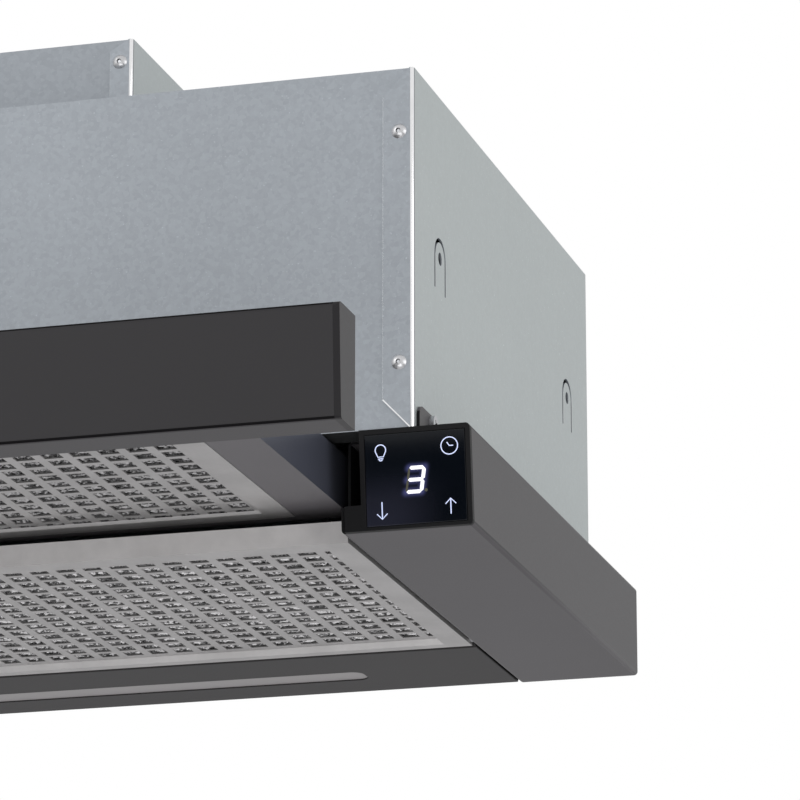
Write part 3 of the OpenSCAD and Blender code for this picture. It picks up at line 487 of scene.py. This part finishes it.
def face_centre(node):
    """X and Z of the middle of a node's front"""
    low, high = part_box(node)
    return (low.x + high.x) / 2, (low.z + high.z) / 2


def finished(name, bm, body, slot, *keys, replaced=()):
    """Makes a bmesh into a piece that rides on a body, with the finishes of those keys"""
    mesh = bpy.data.meshes.new(name)
    bm.to_mesh(mesh)
    bm.free()
    for key in keys:
        mesh.materials.append(finishes()[key])
    piece = bpy.data.objects.new(name, mesh)
    bpy.context.scene.collection.objects.link(piece)
    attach(piece, body)
    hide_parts(*replaced)
    return piece


def stand_in(node, bm, *keys, choose=None):
    """Shows a bmesh in a node's place; choose gives the key of a face's finish"""
    piece = finished(node + "_piece", bm, body_with(node), slot_of(node), *keys, replaced=(node,))
    if choose:
        for face in piece.data.polygons:
            face.material_index = keys.index(choose(face))


def dress(key, *nodes):
    """Gives CAD nodes a finish"""
    for node in nodes:
        slots = NODES[node].data.materials
        slots.clear()
        slots.append(finishes()[key])


def merged(node):
    """A copy of a CAD node's mesh with its triangles joined"""
    bm = bmesh.new()
    bm.from_mesh(NODES[node].data)
    bmesh.ops.remove_doubles(bm, verts=bm.verts, dist=MERGE)
    return bm


def solid(node):
    """A merged copy of a CAD node's mesh, with flat faces whole again"""
    bm = merged(node)
    bmesh.ops.dissolve_limit(bm, angle_limit=FLAT, verts=bm.verts, edges=bm.edges)
    return bm


def sharp_edges(bm):
    return [e for e in bm.edges if len(e.link_faces) == 2 and e.calc_face_angle(0.0) > SHARP]


def round_edges(bm, edges, radius, segments=2):
    bmesh.ops.bevel(bm, geom=edges, offset=radius, segments=segments, profile=0.5, affect="EDGES",
                    material=-1, clamp_overlap=True)


def soften(node, radius, *keys, choose=None):
    """Shows a node with rounded edges"""
    bm = solid(node)
    round_edges(bm, sharp_edges(bm), radius)
    stand_in(node, bm, *keys, choose=choose)


def plate(bm, corners, thickness):
    """A thin plate that faces the front; its thickness goes backwards"""
    face = bm.faces.new([bm.verts.new(corner) for corner in corners])
    face.normal_update()
    if face.normal.y > 0:
        face.normal_flip()
    bmesh.ops.solidify(bm, geom=[face], thickness=thickness)


def middle(edge):
    return (edge.verts[0].co + edge.verts[1].co) / 2


def slants(edge):
    """Whether an edge runs aslant as seen from the front"""
    along = edge.verts[1].co - edge.verts[0].co
    return min(abs(along.x), abs(along.z)) > 0.3 * along.length


def looks_down(face, least=0.9):
    """Whether a face looks down; least is the cosine of the most that it may turn away"""
    return -face.normal.z > least


def looks_front(face, least=0.9):
    """Whether a face looks to the front, by the same measure"""
    return -face.normal.y > least


def looks_aside(face):
    return abs(face.normal.x) > 0.9


def islands(bm):
    """The low and the high corner of the box around each group of joined vertices"""
    seen = set()
    corners = []
    for first in bm.verts:
        if first in seen:
            continue
        seen.add(first)
        group = [first]
        for vert in group:
            near = [edge.other_vert(vert) for edge in vert.link_edges]
            group += [other for other in near if other not in seen]
            seen.update(near)
        places = list(zip(*(vert.co for vert in group)))
        corners.append((Vector(map(min, places)), Vector(map(max, places))))
    return corners


def cut_sides(bm, low, high, clear):
    """Cuts a bmesh along the four upright sides of a box, and may clear what is outside them"""
    for at, out in ((low, (-1, 0, 0)), (high, (1, 0, 0)), (low, (0, -1, 0)), (high, (0, 1, 0))):
        bmesh.ops.bisect_plane(bm, geom=bm.verts[:] + bm.edges[:] + bm.faces[:], plane_co=at, plane_no=out,
                               clear_outer=clear)


# Casing and upper box

class HOOD_OT_casing(bpy.types.Operator):
    """Galvanised sheets with rounded bends"""
    bl_idname = "hood.casing"
    bl_label = "Casing"

    def execute(self, context):
        for node in (*sides("side_sheet"), *sides("tower_side")):
            soften(node, sizes().edge * SHEET_EDGE, "galvanised", "galvanised_side", "bend", "bend_edge",
                   choose=self.skin)
        for node in sides("side_sheet"):
            self.burr(node)
        dress("galvanised", "rear_sheet", "top_sheet", *sides("runner_carrier"))
        dress("galvanised_tower", "tower_front", "tower_top")
        # The front sheet's downward faces get the dark lip coat: painted shade
        stand_in("front_sheet", merged("front_sheet"), "galvanised", "lip",
                 choose=lambda face: "lip" if looks_down(face) else "galvanised")
        return {"FINISHED"}

    def skin(self, face):
        """The flat side, a lighter copy of the zinc as painted light; the bend, a near white painted
        highlight, its first stretch a darker painted shade line; and the flange
        """
        turned = abs(face.normal.x) if abs(face.normal.z) < 0.1 else 0.0
        if turned > 0.995:
            return "galvanised_side"
        if turned > 0.93:
            return "bend_edge"
        return "bend" if turned > 0.2 else "galvanised"

    def burr(self, node):
        """Painted highlight: a thin white strip along the lower slanted edge of the front flange, where that
        edge catches the light
        """
        shortest = 8.0 * MM
        half_width = 0.25 * MM
        proud = Vector((0, -0.04 * MM, 0))
        low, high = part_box(node)
        bm = solid(node)
        line = bmesh.new()
        for edge in sharp_edges(bm):
            at = middle(edge)
            low_in_front = at.y < low.y + 0.1 * MM and at.z < (low.z + high.z) / 2
            if low_in_front and slants(edge) and edge.calc_length() > shortest:
                start, end = (vert.co + proud for vert in edge.verts)
                across = (end - start).normalized().cross(proud.normalized()) * half_width
                plate(line, (start - across, end - across, end + across, start + across), 0.03 * MM)
        bm.free()
        finished(node + "_burr", line, body_with(node), slot_of(node), "cut_edge")


class HOOD_OT_rivets(bpy.types.Operator):
    """Blind rivets with the broken end of the mandrel in each"""
    bl_idname = "hood.rivets"
    bl_label = "Rivets"

    def execute(self, context):
        radius = 0.85 * MM
        depth = 1.6 * MM
        sunk = 0.55 * MM
        dress("rivet", "casing_rivets")
        bm = solid("casing_rivets")
        pins = bmesh.new()
        for low, high in islands(bm):
            at = Vector(((low.x + high.x) / 2, low.y + sunk + depth / 2, (low.z + high.z) / 2))
            bmesh.ops.create_cone(
                pins, cap_ends=True, segments=14, radius1=radius, radius2=radius * 0.75, depth=depth,
                matrix=Matrix.Translation(at) @ Matrix.Rotation(math.pi / 2, 4, "X"))
        bm.free()
        finished("rivet_mandrels", pins, "casing", "rivet_metal", "plated")
        return {"FINISHED"}


# Arms

class HOOD_OT_arms(bpy.types.Operator):
    """Painted side arms and rear bar"""
    bl_idname = "hood.arms"
    bl_label = "Arms"

    def execute(self, context):
        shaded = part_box("control_cap")[0].x + 12.0 * MM

        def coat(face):
            """The flange's edge and back are in the dark beside the cap, no farther out than this"""
            if looks_front(face) or looks_aside(face) and abs(face.center.x) < shaded:
                return "shadow"
            # Faces that look aside take the darker copy of the paint: painted shade
            return "paint_side" if looks_aside(face) else "paint"

        for node in sides("arm"):
            soften(node, sizes().edge, "paint", "paint_side", "shadow", choose=coat)
        soften("rear_bar", sizes().edge, "bar")
        dress("paint", "filter_keeper")
        return {"FINISHED"}


def screw_head(bm, at, direction, radius, height):
    """Pan head with a cross recess; material 1 is the recess, two thin dark blades on the head's top as
    painted shadow
    """
    turn = Vector((0, 0, 1)).rotation_difference(direction).to_matrix().to_4x4()
    seat = Matrix.Translation(at) @ turn
    made = bmesh.ops.create_cone(bm, cap_ends=True, segments=24, radius1=radius, radius2=radius * 0.8,
                                 depth=height, matrix=seat @ Matrix.Translation((0, 0, height / 2)))
    edges = dict.fromkeys(edge for vert in made["verts"] for edge in vert.link_edges)
    rim = [edge for edge in edges if (seat.inverted() @ middle(edge)).z > height * 0.9]
    round_edges(bm, rim, height * 0.3, 3)
    for quarter in (0, 1):
        blade = bmesh.ops.create_cube(bm, size=1.0, matrix=seat
                                      @ Matrix.Translation((0, 0, height - 0.02 * radius))
                                      @ Matrix.Rotation(quarter * math.pi / 2 + 0.4, 4, "Z")
                                      @ Matrix.Diagonal((radius * 1.05, radius * 0.22, 0.08 * radius, 1.0)))
        for face in {face for vert in blade["verts"] for face in vert.link_faces}:
            face.material_index = 1


class HOOD_OT_screws(bpy.types.Operator):
    """Cross recessed heads on the screws"""
    bl_idname = "hood.screws"
    bl_label = "Screws"

    def execute(self, context):
        height = 1.8 * MM
        for node, axis in (("arm_screws", Vector((1, 0, 0))), ("fascia_screws", Vector((0, 1, 0)))):
            shanks = solid(node)
            heads = bmesh.new()
            for low, high in islands(shanks):
                centre = (low + high) / 2
                out = -axis if axis.x and centre.x < 0 else axis
                base = centre + out * (axis.dot(high - low) / 2 - height)
                radius = (high.z - low.z) / 2
                # A little smaller than the solid head around it
                screw_head(heads, base, out, radius * 0.98, height * 0.97)
            shanks.free()
            dress("plated", node)
            finished(node + "_heads", heads, body_with(node), "plated_steel", "plated", "shadow")
        return {"FINISHED"}


# Caps with the touch control

class HOOD_OT_caps(bpy.types.Operator):
    """End caps of the arms, the glass and what is behind it"""
    bl_idname = "hood.caps"
    bl_label = "Caps"

    def execute(self, context):
        for node in ("control_cap", "blank_cap"):
            soften(node, sizes().edge, "cap")
        soften("control_glass", sizes().edge * SMALL_EDGE, "glass")
        dress("ivory", "display_module")
        dress("board", "control_board")
        return {"FINISHED"}


def digit_form():
    """Half the width and half the height between the digit's bars, and its slant"""
    height = sizes().digit
    return height * 0.28, height * 0.4325, math.tan(math.radians(9.0))


def arc(centre, radius, start, end, steps):
    """Points of an arc, angles in degrees"""
    turns = [math.radians(start + (end - start) * i / steps) for i in range(steps + 1)]
    return [(centre[0] + radius * math.cos(turn), centre[1] + radius * math.sin(turn)) for turn in turns]


def bulb_lines():
    """Bulb: round top, sides that draw in, and two turns of the cap"""
    unit = BULB_UNIT
    top = arc((0, 0.9 * unit), 2.15 * unit, -35, 215, 20)
    neck = [(-1.15 * unit, -1.75 * unit), (1.15 * unit, -1.75 * unit)]
    return [(top + neck, True),
            ([(-1.1 * unit, -2.5 * unit), (1.1 * unit, -2.5 * unit)], False),
            (arc((0, -2.55 * unit), 0.75 * unit, 200, 340, 6), False)]


def clock_lines():
    """Clock: a dial and two hands"""
    return [(arc((0, 0), CLOCK_RADIUS, 0, 350, 35), True),
            ([(-0.9 * MM, 1.3 * MM), (0, 0), (1.5 * MM, 0)], False)]


def arrow_lines(way, height):
    """Arrow that points up for way 1 and down for way -1"""
    tip = way * height / 2
    shoulder = tip - way * ARROW_WING
    return [([(0, -tip), (0, tip)], False),
            ([(-ARROW_WING, shoulder), (0, tip), (ARROW_WING, shoulder)], False)]


def glass_plane():
    """Turns a place on the glass, from its middle, into a point on its leaning face"""
    low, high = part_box("control_cap")
    x, z = face_centre("control_glass")
    lean = CAP_LEAN / (high.z - low.z)

    def on_glass(u, v, proud):
        return Vector((x + u, low.y + lean * (high.z - z - v) - proud, z + v))

    return on_glass


def stroke(bm, points, closed, width, to_face):
    """A line of even width with round ends, pressed flat on the glass"""
    flatness = 0.12
    curve = bpy.data.curves.new("stroke", "CURVE")
    curve.dimensions = "3D"
    curve.bevel_depth = width / 2
    curve.bevel_resolution = 1
    curve.use_fill_caps = True
    line = curve.splines.new("POLY")
    line.points.add(len(points) - 1)
    for point, (u, v) in zip(line.points, points):
        point.co = (u, 0.0, v, 1.0)
    line.use_cyclic_u = closed
    temporary = bpy.data.objects.new("stroke", curve)
    mesh = temporary.to_mesh()
    before = len(bm.verts)
    bm.from_mesh(mesh)
    bm.verts.ensure_lookup_table()
    for vert in bm.verts[before:]:
        u, depth, v = vert.co
        vert.co = to_face(u, v, -depth * flatness)
    temporary.to_mesh_clear()
    bpy.data.objects.remove(temporary)
    bpy.data.curves.remove(curve)


def sign_plate(bm, points, to_face, proud):
    """A thin plate that lies just clear of the glass"""
    plate(bm, [to_face(u, v, proud) for u, v in points], proud * 0.8)


def digit_bar(bm, ends, width, to_face, proud):
    """Segment of the digit: a bar with pointed ends"""
    start, end = Vector(ends[0]), Vector(ends[1])
    along = (end - start).normalized() * width / 2
    across = Vector((-along.y, along.x))
    upper = [start + along + across, end - along + across]
    lower = [end - along - across, start + along - across]
    sign_plate(bm, [start, *upper, end, *lower], to_face, proud)


class HOOD_OT_signs(bpy.types.Operator):
    """Bulb, clock, arrows and the digit on the glass"""
    bl_idname = "hood.signs"
    bl_label = "Signs"

    def execute(self, context):
        to_face = glass_plane()
        signs = (("sign_bulb", BULB_AT, bulb_lines()),
                 ("sign_clock", CLOCK_AT, clock_lines()),
                 ("sign_down", DOWN_AT, arrow_lines(-1, DOWN_LENGTH)),
                 ("sign_up", UP_AT, arrow_lines(1, UP_LENGTH)))
        for name, at, lines in signs:
            bm = bmesh.new()
            for points, closed in lines:
                stroke(bm, [(u + at[0], v + at[1]) for u, v in points], closed, sizes().stroke, to_face)
            finished(name, bm, "casing", "black_glass", "lit")
        self.digit(to_face)
        return {"FINISHED"}

    def digit(self, to_face):
        """A figure three of five lit bars, with two thin dark bars and a dark dot"""
        side, half, slant = digit_form()
        thick = sizes().digit * 0.135
        proud, low_proud = 0.07 * MM, 0.04 * MM
        columns = {"left": -side, "right": side}
        rows = {"top": half, "middle": 0.0, "low": -half}

        def at(column, row):
            return DIGIT_AT[0] + columns[column] + rows[row] * slant, DIGIT_AT[1] + rows[row]

        def upper_and_lower(column):
            return [(at(column, "top"), at(column, "middle")), (at(column, "middle"), at(column, "low"))]

        lit_bars = bmesh.new()
        for ends in [(at("left", row), at("right", row)) for row in rows] + upper_and_lower("right"):
            digit_bar(lit_bars, ends, thick, to_face, proud)
        finished("digit_lit", lit_bars, "casing", "black_glass", "lit_digit")
        dark = bmesh.new()
        for ends in upper_and_lower("left"):
            digit_bar(dark, ends, thick * 0.6, to_face, low_proud)
        dot = (DIGIT_AT[0] + side * 1.38, DIGIT_AT[1] - half + thick / 4)
        sign_plate(dark, arc(dot, thick * 0.45, 0, 330, 11), to_face, low_proud)
        finished("digit_unlit", dark, "casing", "black_glass", "unlit")


# Fascia and tray

class HOOD_OT_fascia(bpy.types.Operator):
    """Painted fascia with its two end caps"""
    bl_idname = "hood.fascia"
    bl_label = "Fascia"

    def execute(self, context):
        soften("fascia_panel", sizes().edge, "fascia", "fascia_under", "fascia_line", choose=self.coat)
        # Faces of the end caps that look to the front take a darker coat: painted shade
        soften("fascia_end_caps", sizes().edge, "fascia_end", "fascia_rim",
               choose=lambda face: "fascia_rim" if looks_front(face, 0.6) else "fascia_end")
        return {"FINISHED"}

    def coat(self, face):
        """The front, darker than the paint as painted shade; its rounded upper and lower edges, a near black
        painted shade line; and all that doesn't look to the front
        """
        if looks_down(face, 0.85) or not looks_front(face, 0.2):
            return "fascia_under"
        return "fascia_line" if abs(face.normal.z) > 0.35 else "fascia"


class HOOD_OT_tray(bpy.types.Operator):
    """Painted tray and its runners"""
    bl_idname = "hood.tray"
    bl_label = "Tray and runners"

    def execute(self, context):
        soften("tray_frame", sizes().edge * SMALL_EDGE, "paint", "paint_under", "tray_side", choose=self.coat)
        for rail in ("outer_rail", "middle_rail", "inner_rail"):
            for node in sides(rail):
                soften(node, sizes().edge * SMALL_EDGE, "plated")
        return {"FINISHED"}

    def coat(self, face):
        """The underside takes a lighter copy of the paint as painted light, and the two ends a bluish dark
        coat as painted reflection and shade
        """
        if looks_down(face):
            return "paint_under"
        return "tray_side" if looks_aside(face) else "paint"


# Filters

def expanded_layer(low, high, level, layer):
    """Lattice of tilted strands between two corners, its crossings pushed up and down"""
    cell_x, cell_y = sizes().cell_x, sizes().cell_y
    reach = high.x - low.x + high.y - low.y
    count = int(reach / min(cell_x, cell_y)) + 4
    bm = bmesh.new()
    bmesh.ops.create_grid(bm, x_segments=count, y_segments=count, size=count / 2)
    bmesh.ops.rotate(bm, verts=bm.verts, cent=(0, 0, 0), matrix=Matrix.Rotation(math.pi / 4, 3, "Z"))
    bmesh.ops.scale(bm, verts=bm.verts, vec=(cell_x / math.sqrt(2), cell_y / math.sqrt(2), 1.0))
    centre = (low + high) / 2
    bmesh.ops.translate(bm, verts=bm.verts, vec=(centre.x + layer * cell_x / 3, centre.y, level))
    cut_sides(bm, low, high, True)
    openings = bm.faces[:]
    bmesh.ops.inset_individual(bm, faces=openings, thickness=sizes().strand / 2, use_even_offset=True)
    for opening in openings:
        hub = opening.calc_center_median()
        for vert in opening.verts:
            vert.co.z += TILT * (vert.co.y - hub.y) / cell_y
    bmesh.ops.delete(bm, geom=openings, context="FACES")
    # Each layer takes its waves from another part of the noise
    for vert in bm.verts:
        place = Vector((vert.co.x * WAVES_PER_METRE + layer * 31, vert.co.y * WAVES_PER_METRE, layer))
        vert.co.z += SAG * noise.noise(place)
    return bm


def press_through(bm, sheet, depth):
    """Lets strands bulge into the windows of the sheet below them"""
    punched = bmesh.new()
    punched.from_mesh(NODES[sheet].data)
    tree = BVHTree.FromBMesh(punched)
    punched.free()
    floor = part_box(sheet)[0].z + 0.15 * MM
    margin = sizes().strand / 3
    beside = [Vector((x, y, 0.0)) for x, y in ((margin, 0), (-margin, 0), (0, margin), (0, -margin))]
    down = Vector((0, 0, -1))
    for vert in bm.verts:
        if all(tree.ray_cast(vert.co + aside, down)[0] is None for aside in beside):
            vert.co.z = max(floor, vert.co.z - depth)


def clear_cup(bm):
    """Takes away what would stand inside the catch's cup"""
    low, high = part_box("filter_latch_cup")
    cut_sides(bm, low, high, False)
    centres = ((face, face.calc_center_median()) for face in bm.faces)
    inside = [face for face, at in centres if low.x < at.x < high.x and low.y < at.y < high.y]
    bmesh.ops.delete(bm, geom=inside, context="FACES")


class HOOD_OT_filters(bpy.types.Operator):
    """Grease filters: satin cassettes with strands of expanded metal inside"""
    bl_idname = "hood.filters"
    bl_label = "Filters"

    def execute(self, context):
        self.cassette("tray_filter", "tray_mesh")
        self.cassette("filter", "mesh")
        soften("filter_latch_cup", sizes().edge * CASSETTE_EDGE, "black")
        soften("filter_latch", sizes().edge, "black")
        dress("plated", "filter_hinge_pins")
        return {"FINISHED"}

    def cassette(self, prefix, strands):
        """Sheet whose punched edges that look to the front are darkened as painted shade, frame whose front
        is a lighter copy as painted light, and the pack of strands
        """
        stand_in(prefix + "_sheet", merged(prefix + "_sheet"), "filter", "punched",
                 choose=lambda face: "punched" if looks_front(face, 0.5) else "filter")
        soften(prefix + "_frame", sizes().edge * CASSETTE_EDGE, "filter", "filter_front",
               choose=lambda face: "filter_front" if looks_front(face) else "filter")
        self.pack(prefix, strands)

    def pack(self, prefix, strands):
        """Layers of strands below and above a dark plate of painted shadow, in place of the CAD block"""
        node = prefix + "_mesh"
        body = body_with(node)
        low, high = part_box(node)
        # The deep and the top layer take darker copies of the strands: painted shade
        layers = ((low.z + FRONT_LAYER, strands), (low.z + DEEP_LAYER, "deep_mesh"),
                  (high.z - TOP_LAYER, "tray_mesh"))
        for number, (level, key) in enumerate(layers, 1):
            bm = expanded_layer(low, high, level, number)
            if number == 1:
                press_through(bm, prefix + "_sheet", 1.1 * MM)
            if prefix == "filter":
                clear_cup(bm)
            finished(f"{prefix}_strands_{number}", bm, body, "mesh_metal", key)
        # A thin dark plate in the middle of the pack: painted shadow for the depth behind the strands
        shadow_plate = bmesh.new()
        bmesh.ops.create_cube(shadow_plate, size=1.0, matrix=Matrix.Translation((low + high) / 2)
                              @ Matrix.Diagonal((high.x - low.x, high.y - low.y, MM, 1.0)))
        if prefix == "filter":
            clear_cup(shadow_plate)
        finished(prefix + "_core", shadow_plate, body, "mesh_metal", "shadow", replaced=(node,))


# Light, duct, blower and electrics

class HOOD_OT_light(bpy.types.Operator):
    """Frosted strip with its housing and board"""
    bl_idname = "hood.light"
    bl_label = "Light"

    def execute(self, context):
        dress("diffuser", "light_diffuser")
        dress("white", "lamp_housing", "led_board")
        return {"FINISHED"}


class HOOD_OT_duct(bpy.types.Operator):
    """Collar, flaps, gland and control unit"""
    bl_idname = "hood.duct"
    bl_label = "Duct and electrics"

    def execute(self, context):
        for node in ("duct_collar", "flap_front", "flap_rear", "power_gland"):
            soften(node, sizes().edge, "black")
        soften("control_unit", sizes().edge, "grey")
        dress("plated", "flap_axle")
        return {"FINISHED"}


class HOOD_OT_blower(bpy.types.Operator):
    """Scroll, wheel and motor"""
    bl_idname = "hood.blower"
    bl_label = "Blower"

    def execute(self, context):
        dress("white", *sides("blower_housing"), "fan_wheel")
        dress("plated", "motor_bracket", "fan_shaft")
        dress("motor", "motor")
        return {"FINISHED"}


# Stage

class HOOD_OT_stage(bpy.types.Operator):
    """Camera at the photograph's viewing angle, pale floor and soft light"""
    bl_idname = "hood.stage"
    bl_label = "Stage"

    def execute(self, context):
        self.camera()
        self.floor()
        self.world()
        for name, at, width, power in LAMPS:
            self.lamp(name, at, width, power)
        return {"FINISHED"}

    def camera(self):
        lens = bpy.data.cameras.new("camera")
        lens.sensor_width = 36.0
        lens.lens = CAMERA_LENS
        lens.clip_end = 50.0
        eye = bpy.data.objects.new("camera", lens)
        right = Vector((math.cos(CAMERA_YAW), math.sin(CAMERA_YAW), 0.0))
        level = Vector((-right.y, right.x, 0.0))
        forward = level * math.cos(CAMERA_PITCH) + Vector((0.0, 0.0, math.sin(CAMERA_PITCH)))
        turn = Matrix((right, right.cross(forward), -forward)).transposed()
        eye.matrix_world = Matrix.Translation(CAMERA_AT) @ turn.to_4x4()
        bpy.context.scene.collection.objects.link(eye)
        bpy.context.scene.camera = eye

    def floor(self):
        bm = bmesh.new()
        bmesh.ops.create_grid(bm, x_segments=1, y_segments=1, size=FLOOR_REACH,
                              matrix=Matrix.Translation((0, 0, CAD_BOX[0].z - FLOOR_BELOW)))
        mesh = bpy.data.meshes.new("floor")
        bm.to_mesh(mesh)
        bm.free()
        finish = Finish("pale_floor")
        speck = finish.noise(3.0, detail=2.0)
        mesh.materials.append(finish.surface(
            Base_Color=finish.blend(speck, (0.80, 0.80, 0.80), (0.84, 0.84, 0.84)), Roughness=0.9))
        floor = bpy.data.objects.new("floor", mesh)
        bpy.context.scene.collection.objects.link(floor)

    def world(self):
        """White where the camera looks, a little less in a reflection, and grey as a light"""
        world = bpy.data.worlds.new("studio")
        bpy.context.scene.world = world
        world.use_nodes = True
        studio = Nodes(world.node_tree)

        def ray(kind):
            return studio.node("LightPath", output=f"Is {kind} Ray")

        share = (ray("Camera").most(ray("Transmission")) + ray("Glossy") * 0.62).least(1.0)
        grey = studio.node("Background", None, {"Color": (0.52, 0.52, 0.53)})
        white = studio.node("Background", None, {"Color": (1.0, 1.0, 1.0)})
        mix = studio.node("MixShader", None, {0: share, 1: grey, 2: white})
        studio.feed(studio.tree.nodes["World Output"].inputs["Surface"], mix)

    def lamp(self, name, at, width, power):
        light = bpy.data.lights.new(name, "AREA")
        light.size = width
        light.energy = power
        lamp = bpy.data.objects.new(name, light)
        lamp.location = at
        lamp.rotation_euler = (-Vector(at)).to_track_quat("-Z", "Y").to_euler()
        bpy.context.scene.collection.objects.link(lamp)


# Add-on

STEPS = (HOOD_OT_stage, HOOD_OT_casing, HOOD_OT_rivets, HOOD_OT_arms, HOOD_OT_screws, HOOD_OT_caps,
         HOOD_OT_signs, HOOD_OT_fascia, HOOD_OT_tray, HOOD_OT_filters, HOOD_OT_light, HOOD_OT_duct,
         HOOD_OT_blower)


class HOOD_PT_panel(bpy.types.Panel):
    """Sizes, colours and steps in the sidebar"""
    bl_idname = "HOOD_PT_panel"
    bl_label = "Pull-out range hood"
    bl_space_type = "VIEW_3D"
    bl_region_type = "UI"
    bl_category = "Hood"

    def draw(self, context):
        for group in (context.scene.hood_sizes, context.scene.hood_colours):
            for name in group.__annotations__:
                self.layout.prop(group, name)
        for step in STEPS:
            self.layout.operator(step.bl_idname)


CLASSES = (HoodSizes, HoodColours, *STEPS, HOOD_PT_panel)


def register():
    for cls in CLASSES:
        bpy.utils.register_class(cls)
    bpy.types.Scene.hood_sizes = bpy.props.PointerProperty(type=HoodSizes)
    bpy.types.Scene.hood_colours = bpy.props.PointerProperty(type=HoodColours)


def unregister():
    del bpy.types.Scene.hood_colours
    del bpy.types.Scene.hood_sizes
    for cls in reversed(CLASSES):
        bpy.utils.unregister_class(cls)


def main():
    bpy.context.scene.view_settings.view_transform = "Standard"
    register()
    bpy.ops.hood.stage()
    bpy.ops.hood.casing()
    bpy.ops.hood.rivets()
    bpy.ops.hood.arms()
    bpy.ops.hood.screws()
    bpy.ops.hood.caps()
    bpy.ops.hood.signs()
    bpy.ops.hood.fascia()
    bpy.ops.hood.tray()
    bpy.ops.hood.filters()
    bpy.ops.hood.light()
    bpy.ops.hood.duct()
    bpy.ops.hood.blower()


if __name__ == "__main__":
    main()
